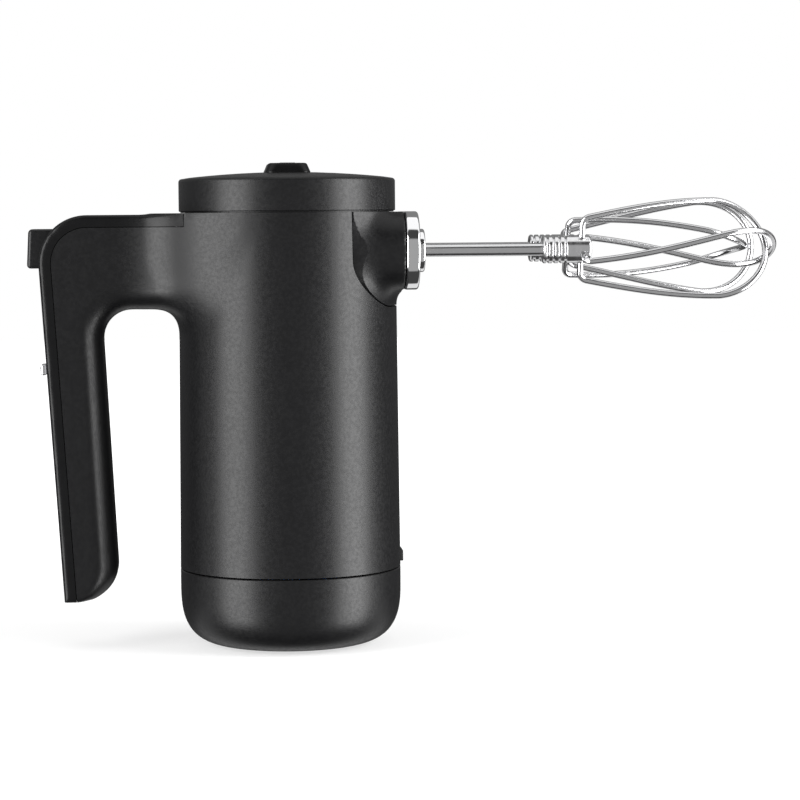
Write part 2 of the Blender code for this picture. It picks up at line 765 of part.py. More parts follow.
# Base


def base_curve(inset=0.0, steps=7):
    """The bowl's rounded corner as (radius, height), from its side down to its flat."""
    reach = RADIUS_BOTTOM - FLAT_RADIUS - inset
    tall = BASE_CURVE_HEIGHT - inset
    points = []
    for i in range(steps + 1):
        angle = math.pi / 2 * i / steps
        across = FLAT_RADIUS + reach * math.cos(angle) ** (2 / BASE_CURVE_POWER)
        down = inset + FOOT_STEP + tall - tall * math.sin(angle) ** (2 / BASE_CURVE_POWER)
        points.append((across, down))
    return points


def base_cap():
    """Bowl that closes the housing, with screw posts and a seat for the foot pad."""
    outer = [(RADIUS_BOTTOM - WALL, BASE_SEAM_Z), (RADIUS_BOTTOM, BASE_SEAM_Z)] + base_curve() + [
        (0, FOOT_STEP)
    ]
    inner = [(0, BASE_FLOOR_Z)] + [(r, z) for r, z in base_curve(WALL)[::-1] if z > BASE_FLOOR_Z + 0.0005]
    inner.insert(1, (inner[1][0] - 0.002, BASE_FLOOR_Z))
    bowl = turned_solid("base_cap", inner + outer, finish=BODY_BLACK)
    deep = FOOT_DEPTH - FOOT_STEP + CLEAR
    seat = cylinder(
        "foot_seat",
        FOOT_RADIUS + CLEAR,
        (0, 0, -0.001),
        0.001 + FOOT_STEP + deep,
        group=CUTTERS,
        sides=ROUND_SIDES,
    )
    combine(bowl, seat)
    for name, x, y in base_screw_places():
        combine(
            bowl, cylinder(name + "_hole", SCREW_RADIUS + CLEAR, (x, y, 0.001), 0.02, group=CUTTERS, sides=16)
        )
        seat = BASE_SCREW_Z + SCREW_HEAD_DEPTH + CLEAR - 0.001
        combine(
            bowl, cylinder(name + "_seat", SCREW_HEAD + CLEAR, (x, y, 0.001), seat, group=CUTTERS, sides=16)
        )
    return bowl


def foot_pad():
    """Rubber disc under the base: its lower face is what the mixer stands on."""
    pad = cylinder("foot_pad", FOOT_RADIUS, (0, 0, 0), FOOT_DEPTH, finish=RUBBER, sides=ROUND_SIDES)
    round_edges(pad, 0.0004, 1)
    return pad


def base_screw_places():
    places = []
    for i in range(3):
        angle = math.radians(60 + 120 * i)
        places.append(
            (f"base_screw_{i + 1}", BASE_SCREW_RADIUS * math.cos(angle), BASE_SCREW_RADIUS * math.sin(angle))
        )
    return places


def base_screws():
    for name, x, y in base_screw_places():
        screw(name, (x, y, BASE_SCREW_Z), BASE_SCREW_LENGTH)


def screw(name, place, length):
    """A pan-head screw with its head at place, pointing up."""
    profile = [(0, length), (SCREW_RADIUS * 0.6, length), (SCREW_RADIUS, length - SCREW_RADIUS)]
    profile += [(SCREW_RADIUS, SCREW_HEAD_DEPTH), (SCREW_HEAD, SCREW_HEAD_DEPTH), (SCREW_HEAD, 0.0004)]
    profile += [(SCREW_HEAD - 0.0004, 0), (0, 0)]
    return turned_solid(name, profile, place, finish=STEEL, sides=10)


# Charging


def charge_port():
    """Flap over the inlet, hinged at its lower outer edge, and the inlet behind it."""
    x = body_radius(PORT_Z)
    half = PORT_WIDTH / 2
    low = (x - PORT_FLAP_DEPTH, -half, PORT_Z - PORT_HEIGHT / 2)
    block(
        "charge_port_cover",
        low,
        (x + PORT_PROUD, half, PORT_Z + PORT_HEIGHT / 2),
        RUBBER,
        bevel=0.0003,
        steps=1,
    )
    front = math.sqrt((x - WALL) ** 2 - half**2) - CLEAR
    rear = front - INLET_DEPTH
    tall = PORT_HEIGHT / 2
    inlet = block("charge_socket", (rear, -half, PORT_Z - tall), (front, half, PORT_Z + tall), FRAME_GREY)
    slot = rounded_rectangle(INLET_WIDTH / 2, INLET_HEIGHT / 2, INLET_HEIGHT / 2 - 0.0001, (0, PORT_Z), 5)
    combine(inlet, plate("inlet_slot", slot, front, 2 * (INLET_DEPTH - WALL), "YZ", group=CUTTERS))
    block(
        "charge_board",
        (rear, -half, PORT_Z - tall - CLEAR - BOARD_DEPTH),
        (front, half, PORT_Z - tall - CLEAR),
        BOARD_GREEN,
    )


# Battery


def cell_places():
    """The three cells stand in a triangle round the housing's axis."""
    reach = (CELL_RADIUS + CELL_GAP / 2) * 2 / math.sqrt(3)
    angles = [math.radians(120 * i) for i in range(3)]
    return [(f"battery_cell_{i + 1}", reach * math.cos(a), reach * math.sin(a)) for i, a in enumerate(angles)]


def cell(name, x, y):
    """A round cell with the small raised contact on its upper end."""
    body = CELL_LENGTH - 0.0012
    profile = [(0, CELL_LENGTH), (0.0028, CELL_LENGTH), (0.0028, body), (CELL_RADIUS - 0.0006, body)]
    profile += [(CELL_RADIUS, body - 0.0006), (CELL_RADIUS, 0.0006), (CELL_RADIUS - 0.0006, 0), (0, 0)]
    return turned_solid(name, profile, (x, y, CELL_LOW_Z), finish=CELL_BLUE, sides=20)


def battery_radius():
    """Radius of the tray and cap: the circle round the three cells and a wall."""
    return (CELL_RADIUS + CELL_GAP / 2) * 2 / math.sqrt(3) + CELL_RADIUS + TRAY_WALL


def battery():
    """Three cells between a tray and a cap, with the protection board on the cap."""
    radius = battery_radius()
    cell_top = CELL_LOW_Z + CELL_LENGTH
    tray = cylinder(
        "battery_tray", radius, (0, 0, CELL_LOW_Z - TRAY_WALL), TRAY_HEIGHT, finish=FRAME_GREY, sides=32
    )
    cap_z = cell_top + TRAY_WALL - TRAY_HEIGHT
    cap = cylinder("battery_cap", radius, (0, 0, cap_z), TRAY_HEIGHT, finish=FRAME_GREY, sides=32)
    for name, x, y in cell_places():
        cell(name, x, y)
        hole = CELL_RADIUS + CLEAR
        seat_z = CELL_LOW_Z - CLEAR
        combine(tray, cylinder(name + "_seat", hole, (x, y, seat_z), TRAY_HEIGHT, group=CUTTERS))
        high = cell_top + CLEAR - TRAY_HEIGHT
        combine(cap, cylinder(name + "_top", hole, (x, y, high), TRAY_HEIGHT, group=CUTTERS))
    for name, x, y in base_screw_places():
        reach = SCREW_RADIUS + CLEAR
        combine(
            tray,
            cylinder(name + "_tray", reach, (x, y, 0), CELL_LOW_Z + TRAY_HEIGHT, group=CUTTERS, sides=16),
        )
    board_z = cap_z + TRAY_HEIGHT + CLEAR
    cylinder("battery_board", radius - 0.002, (0, 0, board_z), BOARD_DEPTH, finish=BOARD_GREEN, sides=32)


# Motor


def motor():
    """Closed can with two magnets, a rotor on its shaft, and a cap below."""
    outer = MOTOR_RADIUS
    inner = outer - MOTOR_WALL
    height = MOTOR_TOP_Z - MOTOR_LOW_Z
    hole = MOTOR_SHAFT_RADIUS + RUN_FIT
    profile = [(hole, height + 0.002), (0.005, height + 0.002), (0.005, height), (outer - 0.001, height)]
    profile += [
        (outer, height - 0.001),
        (outer, 0),
        (inner, 0),
        (inner, height - MOTOR_WALL),
        (hole, height - MOTOR_WALL),
    ]
    turned_solid("motor_can", profile, (0, 0, MOTOR_LOW_Z), finish=STEEL, sides=24)
    cap_z = MOTOR_LOW_Z - CLEAR - 0.003
    ring("motor_end_cap", outer, hole, (0, 0, cap_z), 0.003, finish=NYLON, sides=32)
    shaft_low = cap_z
    shaft_top = AXIS_Z + WORM_LENGTH / 2 + 0.004
    cylinder(
        "motor_shaft", MOTOR_SHAFT_RADIUS, (0, 0, shaft_low), shaft_top - shaft_low, finish=STEEL, sides=20
    )
    rotor_low = MOTOR_LOW_Z + 0.008
    rotor_high = MOTOR_TOP_Z - 0.012
    height = rotor_high - rotor_low
    bore = MOTOR_SHAFT_RADIUS + CLEAR
    ring("rotor_core", ROTOR_RADIUS, bore, (0, 0, rotor_low), height, finish=STEEL, sides=24)
    for side, turn in (("left", 0), ("right", 180)):
        magnet = ring_sector(
            inner - CLEAR, inner - CLEAR - MAGNET_DEPTH, rotor_low, rotor_high, turn + 20, turn + 160
        )
        magnet.name = "motor_magnet_" + side


def ring_sector(outer, inner, low, high, start, end):
    outline = arc((0, 0), outer, start, end, 14) + arc((0, 0), inner, end, start, 14)
    return plate("sector", outline, (low + high) / 2, high - low, "XY", FRAME_GREY)


# Worm drive


def worm():
    """Core with two helical threads, pressed on the motor shaft."""
    root = WORM_PITCH_RADIUS - DEDENDUM
    low = AXIS_Z - WORM_LENGTH / 2
    core = ring("worm", root, MOTOR_SHAFT_RADIUS + CLEAR, (0, 0, low), WORM_LENGTH, finish=STEEL, sides=20)
    lead = math.pi * MODULE * WORM_STARTS
    pitch = lead / WORM_STARTS
    half_tip = pitch * TOOTH_SHARE / 2 - ADDENDUM * math.tan(PRESSURE_ANGLE)
    half_root = pitch * TOOTH_SHARE / 2 + DEDENDUM * math.tan(PRESSURE_ANGLE)
    turns = (WORM_LENGTH - 2 * half_root - 0.001) / lead
    for start in range(WORM_STARTS):
        bm = bmesh.new()
        outline = [(root - 0.0006, -half_root), (WORM_PITCH_RADIUS + ADDENDUM, -half_tip)]
        outline += [(WORM_PITCH_RADIUS + ADDENDUM, half_tip), (root - 0.0006, half_root)]
        face = bm.faces.new([bm.verts.new((x, 0, z - lead * turns / 2)) for x, z in outline])
        steps = round(14 * turns)
        geometry = [face] + list(face.edges) + list(face.verts)
        bmesh.ops.spin(
            bm, geom=geometry, cent=(0, 0, 0), axis=(0, 0, 1), dvec=(0, 0, lead * turns / steps),
            angle=2 * math.pi * turns, steps=steps, use_duplicate=False,
        )
        begin = -math.pi * turns + math.pi * start
        place = Matrix.Translation((0, 0, AXIS_Z)) @ Matrix.Rotation(begin, 4, "Z")
        thread = add(f"thread_{start + 1}", mesh_of(bm, "thread"), STEEL, place)
        combine(core, thread, "UNION")
    return core


def wheel_outline():
    """Teeth of the worm wheel: straight-sided, narrower than their pitch by the running clearance."""
    radius = MODULE * WHEEL_TEETH / 2
    half = math.pi * MODULE * TOOTH_SHARE / 2
    levels = (
        (radius - DEDENDUM, half + DEDENDUM * math.tan(PRESSURE_ANGLE)),
        (radius + ADDENDUM, half - ADDENDUM * math.tan(PRESSURE_ANGLE)),
    )
    points = []
    for tooth in range(WHEEL_TEETH):
        middle = 2 * math.pi * tooth / WHEEL_TEETH
        for sign, order in ((-1, levels), (1, levels[::-1])):
            for reach, across in order:
                angle = middle + sign * across / reach
                points.append((reach * math.cos(angle), reach * math.sin(angle)))
    return points


def worm_wheel(side, y):
    """Helical wheel whose twist follows the worm's lead, with a hub that spaces the bushes."""
    lead_slope = MODULE * WORM_STARTS / 2 / WORM_PITCH_RADIUS
    twist = lead_slope * WHEEL_FACE / (MODULE * WHEEL_TEETH / 2)
    bm = bmesh.new()
    face = bm.faces.new([bm.verts.new((-WHEEL_FACE / 2, u, v)) for u, v in wheel_outline()])
    bmesh.ops.rotate(bm, verts=bm.verts, cent=(0, 0, 0), matrix=Matrix.Rotation(-twist / 2, 3, "X"))
    steps = 2
    geometry = [face] + list(face.edges) + list(face.verts)
    bmesh.ops.spin(
        bm, geom=geometry, cent=(0, 0, 0), axis=(1, 0, 0), dvec=(WHEEL_FACE / steps, 0, 0),
        angle=twist, steps=steps, use_duplicate=False,
    )
    wheel = add("worm_wheel_" + side, mesh_of(bm, "wheel"), NYLON, Matrix.Translation((0, y, AXIS_Z)))
    half = FRAME_WALL_X - WHEEL_HUB_GAP
    combine(
        wheel, cylinder("hub_" + side, WHEEL_HUB_RADIUS, (-half, y, AXIS_Z), 2 * half, "X", NYLON), "UNION"
    )
    bore = SPINDLE_RADIUS + CLEAR
    return combine(wheel, cylinder("wheel_bore_" + side, bore, (-0.03, y, AXIS_Z), 0.06, "X", group=CUTTERS))


def spindle(side, y):
    """Hollow drive spindle with a six-sided bore for the whisk shaft's tail."""
    length = SPINDLE_FRONT_X - SPINDLE_REAR_X
    tube = cylinder("spindle_" + side, SPINDLE_RADIUS, (SPINDLE_REAR_X, y, AXIS_Z), length, "X", STEEL)
    bore = cylinder(
        "spindle_bore_" + side,
        BORE_CORNER,
        (SPINDLE_REAR_X - 0.01, y, AXIS_Z),
        length + 0.02,
        "X",
        group=CUTTERS,
        sides=6,
    )
    return combine(tube, bore)


def bushes(side, y):
    outer = SPINDLE_RADIUS + RUN_FIT + BUSH_WALL
    inner = SPINDLE_RADIUS + RUN_FIT
    middle = FRAME_WALL_X + FRAME_WALL / 2
    for end, sign in (("rear", -1), ("front", 1)):
        start = sign * middle - BUSH_LENGTH / 2
        ring(f"bush_{end}_{side}", outer, inner, (start, y, AXIS_Z), BUSH_LENGTH, "X", BRONZE, sides=24)


def gearbox_frame():
    """Round base plate with two upright walls that hold the spindle bushes."""
    radius = body_radius(FRAME_Z) - WALL - 0.0006
    base = cylinder(
        "gearbox_frame", radius, (0, 0, FRAME_Z), FRAME_WALL, finish=FRAME_GREY, sides=ROUND_SIDES
    )
    half = SPACING / 2 + SPINDLE_RADIUS + BUSH_WALL + 0.004
    for end, sign in (("rear", -1), ("front", 1)):
        near = sign * FRAME_WALL_X
        far = sign * (FRAME_WALL_X + FRAME_WALL)
        low = (min(near, far), -half, FRAME_Z + FRAME_WALL / 2)
        combine(base, block("wall_" + end, low, (max(near, far), half, FRAME_TOP_Z), FRAME_GREY), "UNION")
    for side, y in sides():
        hole = SPINDLE_RADIUS + RUN_FIT + BUSH_WALL + CLEAR
        combine(base, cylinder("bush_seat_" + side, hole, (-0.03, y, AXIS_Z), 0.06, "X", group=CUTTERS))
    opening = WORM_PITCH_RADIUS + ADDENDUM + 0.002
    combine(base, cylinder("worm_opening", opening, (0, 0, FRAME_Z - 0.01), 0.02, group=CUTTERS))
    for name, x, y in frame_screw_places():
        reach = SCREW_RADIUS + CLEAR
        combine(base, cylinder(name + "_hole", reach, (x, y, FRAME_Z - 0.01), 0.03, group=CUTTERS, sides=16))
    return base


def frame_screw_places():
    places = []
    for i in range(3):
        angle = math.radians(90 + 120 * i)
        reach = MOUNT_RADIUS - SCREW_HEAD - 0.001
        places.append((f"mount_screw_{i + 1}", reach * math.cos(angle), reach * math.sin(angle)))
    return places


def motor_mount():
    """Ring that the motor hangs from, screwed up into the gearbox frame."""
    low = MOTOR_TOP_Z + CLEAR
    high = FRAME_Z - CLEAR
    mount = ring("motor_mount", MOUNT_RADIUS, 0.0065, (0, 0, low), high - low, finish=NYLON, sides=32)
    for name, x, y in frame_screw_places():
        hole = SCREW_RADIUS + CLEAR
        combine(mount, cylinder(name + "_mount", hole, (x, y, low - 0.01), 0.02, group=CUTTERS, sides=16))
        screw(name, (x, y, low - CLEAR - SCREW_HEAD_DEPTH), MOUNT_SCREW_LENGTH)


# Whisks


def whisk_hub(side, y):
    """Ferrule with ribs at the rear: the shaft and the four wire ends are fixed in it."""
    profile = [(0, HUB_FRONT_X), (HUB_RADIUS - 0.001, HUB_FRONT_X), (HUB_RADIUS, HUB_FRONT_X - 0.001)]
    for rib in range(HUB_RIBS, 0, -1):
        x = HUB_REAR_X + rib * HUB_RIB_PITCH
        deep = HUB_RADIUS - HUB_GROOVE
        profile += [(HUB_RADIUS, x), (deep, x - 0.0004), (deep, x - 0.0010), (HUB_RADIUS, x - 0.0014)]
    profile += [(HUB_RADIUS, HUB_REAR_X + 0.0006), (HUB_RADIUS - 0.0006, HUB_REAR_X), (0, HUB_REAR_X)]
    hub = turned_solid("whisk_hub_" + side, profile, (0, y, AXIS_Z), "X", STEEL, sides=16)
    deep = LOOP_START_X - WIRE_RADIUS - 0.0015 - HUB_REAR_X
    hole = SHAFT_RADIUS + CLEAR
    combine(
        hub,
        cylinder("hub_socket_" + side, hole, (HUB_REAR_X - 0.01, y, AXIS_Z), deep + 0.01, "X", group=CUTTERS),
    )
    for loop, (first, _) in enumerate(loop_angles(side)):
        for turn in (0, math.pi):
            place = Matrix.Translation((LOOP_START_X, y, AXIS_Z)) @ Matrix.Rotation(
                first + turn - math.pi / 2, 4, "X"
            )
            drill = cylinder(
                f"wire_hole_{side}_{loop}_{turn:.0f}",
                WIRE_RADIUS + CLEAR,
                (0, 0, 0),
                0.02,
                group=CUTTERS,
                sides=8,
            )
            drill.matrix_world = place @ Matrix.Translation((0, 0, WIRE_END_RADIUS - CLEAR))
            combine(hub, drill)


def whisk_shaft(side, y):
    """Round shaft whose rear end is six-sided where it sits in the spindle."""
    end = LOOP_START_X - WIRE_RADIUS - 0.0015 - CLEAR
    step = SPINDLE_FRONT_X + RUN_FIT
    shaft = cylinder(
        "whisk_shaft_" + side, SHAFT_RADIUS, (step, y, AXIS_Z), end - step, "X", CHROME, sides=24
    )
    tail = cylinder(
        "tail_" + side,
        SHAFT_RADIUS,
        (SHAFT_REAR_X, y, AXIS_Z),
        step - SHAFT_REAR_X + 0.002,
        "X",
        CHROME,
        sides=6,
    )
    return combine(shaft, tail, "UNION")


def loop_angles(side):
    """(angle at the hub, twist to the tip) of a whisk's outer and inner loop: the two twist opposite ways."""
    first, twist = (LOOP_ANGLE_RIGHT, -LOOP_TWIST) if side == "right" else (LOOP_ANGLE_LEFT, LOOP_TWIST)
    return ((first, twist), (first + math.pi / 2, twist))


def arm_profile(tip_x):
    """One arm as (x, radius): out of the hub, round a bend, along the cage and over to the tip."""
    bend = arc((LOOP_START_X + WIRE_BEND, LOOP_START_RADIUS - WIRE_BEND), WIRE_BEND, 180, 95, 4)
    points = [(LOOP_START_X, WIRE_END_RADIUS), (LOOP_START_X, 0.0075)] + bend
    first_x, first_r = points[-1]
    steps = 9
    for i in range(1, steps):
        share = i / steps
        swell = math.sin(share * math.pi / 2)
        points.append(
            (
                first_x + (LOOP_WIDE_X - first_x) * share,
                first_r + (LOOP_WIDE_RADIUS - first_r) * (share + swell) / 2,
            )
        )
    for i in range(6):
        angle = math.pi / 2 * i / 6
        points.append(
            (LOOP_WIDE_X + (tip_x - LOOP_WIDE_X) * math.sin(angle), LOOP_WIDE_RADIUS * math.cos(angle))
        )
    return points


def whisk_loop(side, y, letter, first, twist, tip_x):
    def place(x, radius, turn):
        angle = first + turn + twist * max(0.0, x - LOOP_START_X) / (LOOP_TIP_X - LOOP_START_X)
        return (x, y + radius * math.cos(angle), AXIS_Z + radius * math.sin(angle))

    arm = arm_profile(tip_x)
    points = [place(x, r, 0) for x, r in arm] + [(tip_x, y, AXIS_Z)]
    points += [place(x, r, math.pi) for x, r in arm[::-1]]
    return wire(f"whisk_loop_{letter}_{side}", points, WIRE_RADIUS, CHROME, 1)


def whisk(side, y):
    whisk_shaft(side, y)
    whisk_hub(side, y)
    tips = (LOOP_TIP_X, LOOP_TIP_X - 2 * WIRE_RADIUS - WIRE_CROSS_GAP)
    for letter, tip_x, (first, twist) in zip("ab", tips, loop_angles(side)):
        whisk_loop(side, y, letter, first, twist, tip_x)


def build_all():
    main_housing()
    handle_cover()
    control_panel()
    eject_button()
    ejector()
    eject_spring()
    speed_lever()
    control_board()
    lid()
    badge()
    nose_panel()
    nose_bezel()
    socket_plate()
    base_cap()
    foot_pad()
    base_screws()
    charge_port()
    battery()
    motor()
    motor_mount()
    gearbox_frame()
    worm()
    for side, y in sides():
        worm_wheel(side, y)
        spindle(side, y)
        bushes(side, y)
        whisk(side, y)

    for item in PARTS.objects:
        if item.type == "MESH":
            smooth(item)


build_all()
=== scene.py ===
# %% [markdown]
# # A cordless hand mixer
# The engineering model gives every piece its place and its motion. This script gives the pieces the
# shapes and finishes that the eye sees: one smooth black moulding for the housing and its handle, a
# dark cover strip, polished metal round the sockets, and two whisks of bright wire.

# %% Load the frame
import json
import math

import bmesh
import bpy
import numpy as np
from mathutils import Matrix, Vector


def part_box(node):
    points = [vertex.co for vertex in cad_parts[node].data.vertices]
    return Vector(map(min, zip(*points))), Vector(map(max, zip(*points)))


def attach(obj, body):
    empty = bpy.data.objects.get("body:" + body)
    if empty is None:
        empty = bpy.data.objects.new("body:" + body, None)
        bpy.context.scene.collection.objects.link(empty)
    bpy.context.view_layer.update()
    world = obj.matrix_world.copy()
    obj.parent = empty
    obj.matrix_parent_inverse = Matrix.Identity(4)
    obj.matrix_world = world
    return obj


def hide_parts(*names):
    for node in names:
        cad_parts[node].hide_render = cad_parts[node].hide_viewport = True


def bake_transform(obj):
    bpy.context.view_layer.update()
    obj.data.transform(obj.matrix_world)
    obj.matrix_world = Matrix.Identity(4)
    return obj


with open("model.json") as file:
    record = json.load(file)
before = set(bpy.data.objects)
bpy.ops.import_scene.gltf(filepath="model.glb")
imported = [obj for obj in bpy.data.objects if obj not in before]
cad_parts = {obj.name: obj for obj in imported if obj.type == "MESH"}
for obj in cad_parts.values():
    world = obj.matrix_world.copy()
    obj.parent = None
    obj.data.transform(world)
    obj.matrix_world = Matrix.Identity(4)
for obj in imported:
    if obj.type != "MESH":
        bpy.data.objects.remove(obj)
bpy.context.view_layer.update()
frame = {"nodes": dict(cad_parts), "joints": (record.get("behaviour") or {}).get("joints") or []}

# %% [markdown]
# ## Sizes
# Most sizes are read from the frame's own boxes, so that a piece always fits the mechanism it covers.
# The few others are the form of the mouldings: how round an edge is, or how far a fillet reaches.

# %% Sizes read from the frame
MM = 0.001


def size_of(node):
    low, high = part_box(node)
    return high - low


LID_LOW, LID_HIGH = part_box("lid")
CAP_LOW, CAP_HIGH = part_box("base_cap")
COVER_LOW, COVER_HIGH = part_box("handle_cover")
BEZEL_LOW, BEZEL_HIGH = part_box("nose_bezel")
PLATE_LOW, PLATE_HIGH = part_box("socket_plate")
SHAFT_LOW, SHAFT_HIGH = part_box("whisk_shaft_left")
WALL = 2.4 * MM
SEAM = 0.6 * MM
RADIUS_TOP = LID_HIGH.x
RADIUS_BOTTOM = CAP_HIGH.x
BASE_SEAM_Z = CAP_HIGH.z
LID_SEAM_Z = LID_LOW.z
FLOOR_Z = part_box("foot_pad")[0].z
AXIS_Z = (SHAFT_LOW.z + SHAFT_HIGH.z) / 2
SPACING = SHAFT_LOW.y + SHAFT_HIGH.y
HANDLE_TOP_Z = COVER_HIGH.z
HANDLE_LOW_Z = COVER_LOW.z
COVER_END_X = COVER_HIGH.x
HANDLE_WIDTH = 30 * MM
print(f"housing radius {RADIUS_TOP / MM:.1f} mm at the top, {RADIUS_BOTTOM / MM:.1f} mm at the base")
print(f"whisk axes {SPACING / MM:.1f} mm apart, {AXIS_Z / MM:.1f} mm up")

# %% [markdown]
# ## Helpers for making meshes
# A piece is finished when it is one plain mesh at the origin. These helpers turn a profile, pull an
# outline into a block, evaluate modifiers, and cut one solid with another.


# %% Mesh helpers
def link(name, mesh):
    item = bpy.data.objects.new(name, mesh)
    bpy.context.scene.collection.objects.link(item)
    return item


def mesh_from(bm, name):
    bmesh.ops.recalc_face_normals(bm, faces=bm.faces)
    mesh = bpy.data.meshes.new(name)
    bm.to_mesh(mesh)
    bm.free()
    return link(name, mesh)


def evaluated(item):
    """The same object with its modifiers worked into its mesh."""
    graph = bpy.context.evaluated_depsgraph_get()
    graph.update()
    mesh = bpy.data.meshes.new_from_object(item.evaluated_get(graph))
    item.modifiers.clear()
    old = item.data
    item.data = mesh
    if isinstance(old, bpy.types.Mesh):
        bpy.data.meshes.remove(old)
    return item


def placed(item, matrix):
    """Works a matrix into the mesh, so that the object stays at the origin."""
    item.data.transform(matrix)
    if matrix.determinant() < 0:
        item.data.flip_normals()
    return item


def arc(centre, radius, start, end, steps):
    """Points on an arc, angles in degrees."""
    turns = [math.radians(start + (end - start) * i / steps) for i in range(steps + 1)]
    return [(centre[0] + radius * math.cos(t), centre[1] + radius * math.sin(t)) for t in turns]


def turned(name, profile, steps=160, place=None):
    """A solid of revolution about Z. Its (radius, height) points close on the axis or on themselves."""
    bm = bmesh.new()
    points = [bm.verts.new((radius, 0, height)) for radius, height in profile]
    edges = [bm.edges.new(pair) for pair in zip(points, points[1:])]
    if min(radius for radius, _ in profile) > 1e-7:
        edges.append(bm.edges.new((points[-1], points[0])))
    full = {"axis": (0, 0, 1), "cent": (0, 0, 0), "angle": math.tau, "steps": steps}
    bmesh.ops.spin(bm, geom=points + edges, **full)
    bmesh.ops.remove_doubles(bm, verts=bm.verts, dist=1e-6)
    item = mesh_from(bm, name)
    return placed(item, place) if place else item


SIDE = Matrix(((1, 0, 0, 0), (0, 0, -1, 0), (0, 1, 0, 0), (0, 0, 0, 1)))
FRONT = Matrix(((0, 0, 1, 0), (1, 0, 0, 0), (0, 1, 0, 0), (0, 0, 0, 1)))
ALONG_X = Matrix.Rotation(math.pi / 2, 4, "Y")


def prism(name, outline, low, high, plane):
    """An outline pulled from low to high along its normal: SIDE is drawn in XZ, FRONT in YZ."""
    bm = bmesh.new()
    face = bm.faces.new([bm.verts.new((u, v, low)) for u, v in outline])
    grown = bmesh.ops.extrude_face_region(bm, geom=[face])["geom"]
    far = [v for v in grown if isinstance(v, bmesh.types.BMVert)]
    bmesh.ops.translate(bm, vec=(0, 0, high - low), verts=far)
    bmesh.ops.transform(bm, matrix=plane, verts=bm.verts)
    return mesh_from(bm, name)


def box_between(name, low, high):
    bm = bmesh.new()
    bmesh.ops.create_cube(bm, size=1)
    size = Vector(high) - Vector(low)
    bmesh.ops.scale(bm, vec=size, verts=bm.verts)
    bmesh.ops.translate(bm, vec=(Vector(high) + Vector(low)) / 2, verts=bm.verts)
    return mesh_from(bm, name)


def boolean(item, other, how="DIFFERENCE"):
    """Cuts, joins or intersects item with other, and uses other up."""
    step = item.modifiers.new("boolean", "BOOLEAN")
    step.operation = how
    step.solver = "MANIFOLD"
    step.object = other
    evaluated(item)
    bpy.data.objects.remove(other)
    return item


def rounded(item, width, segments=3, degrees=40):
    edge = item.modifiers.new("edge", "BEVEL")
    edge.width = width
    edge.segments = segments
    edge.limit_method = "ANGLE"
    edge.angle_limit = math.radians(degrees)
    edge.harden_normals = False
    return evaluated(item)


def shaded(item, degrees=32):
    item.data.shade_smooth()
    item.data.set_sharp_from_angle(angle=math.radians(degrees))
    return item


# %% [markdown]
# ## Writing shaders as sums
# A material is easier to read as arithmetic than as a web of nodes. `Wire` wraps one socket, and its
# operators add the Math nodes that do the sum. `Nodes.node` makes any other node from its type,
# settings and inputs.


# %% A small language for materials
class Wire:
    """One output socket, with arithmetic on it."""

    def __init__(self, nodes, socket):
        self.nodes = nodes
        self.socket = socket

    def sum(self, operation, first, second):
        return self.nodes.node("ShaderNodeMath", {"operation": operation}, first, second)

    def __add__(self, other):
        return self.sum("ADD", self, other)

    def __radd__(self, other):
        return self.sum("ADD", other, self)

    def __sub__(self, other):
        return self.sum("SUBTRACT", self, other)

    def __rsub__(self, other):
        return self.sum("SUBTRACT", other, self)

    def __mul__(self, other):
        return self.sum("MULTIPLY", self, other)

    def __rmul__(self, other):
        return self.sum("MULTIPLY", other, self)

    def outputs(self):
        """Every output of this socket's node, each as a Wire."""
        return [Wire(self.nodes, socket) for socket in self.socket.node.outputs]


class Nodes:
    """A node tree that sums are written into."""

    def __init__(self, tree):
        self.tree = tree

    def node(self, kind, settings, *values, output=0, **named):
        """Any node: its settings first, then the values or wires of its inputs, in order or by name."""
        made = self.tree.nodes.new(kind)
        for key, value in settings.items():
            setattr(made, key, value)
        for key, value in list(enumerate(values)) + list(named.items()):
            socket = made.inputs[key.replace("_", " ") if isinstance(key, str) else key]
            if isinstance(value, Wire):
                self.tree.links.new(value.socket, socket)
            else:
                socket.default_value = value
        return Wire(self, made.outputs[output])

    def ramp(self, wire, low, high, first, last):
        """A smooth change from first to last while wire goes from low to high."""
        smooth = {"interpolation_type": "SMOOTHSTEP"}
        return self.node("ShaderNodeMapRange", smooth, wire, low, high, first, last)


class Finish(Nodes):
    """A material and the shader at its end."""

    def __init__(self, name, colour, roughness, metallic=0.0):
        self.material = bpy.data.materials.new(name)
        self.material.use_nodes = True
        super().__init__(self.material.node_tree)
        self.end = self.tree.nodes["Principled BSDF"]
        self.feed("Base Color", (*colour, 1))
        self.feed("Roughness", roughness)
        self.feed("Metallic", metallic)
        self.place = self.node("ShaderNodeTexCoord", {}, output="Object")

    def feed(self, socket, value):
        if isinstance(value, Wire):
            self.tree.links.new(value.socket, self.end.inputs[socket])
        else:
            self.end.inputs[socket].default_value = value

    def noise(self, scale, detail=2.0, roughness=0.5, place=None):
        settings = {"Scale": scale, "Detail": detail, "Roughness": roughness}
        return self.node("ShaderNodeTexNoise", {}, Vector=place or self.place, **settings)

    def stretched(self, factors):
        return self.node("ShaderNodeVectorMath", {"operation": "MULTIPLY"}, self.place, factors)

    def tint(self, share, first, second):
        """A colour between two, by a share from 0 to 1."""
        mixed = self.node("ShaderNodeMix", {"data_type": "RGBA"}, share, output=2)
        for key, colour in ((6, first), (7, second)):
            mixed.socket.node.inputs[key].default_value = (*colour, 1)
        return mixed

    def bump(self, height, distance, strength=1.0):
        made = self.node("ShaderNodeBump", {}, Strength=strength, Distance=distance, Height=height)
        self.feed("Normal", made)


# %% [markdown]
# ## Finishes
# The black mouldings come out of a spark-eroded mould: a very fine, even grain that breaks a
# reflection into a soft glow. The bright parts are smooth but not perfect: polishing leaves faint
# streaks along the wire.


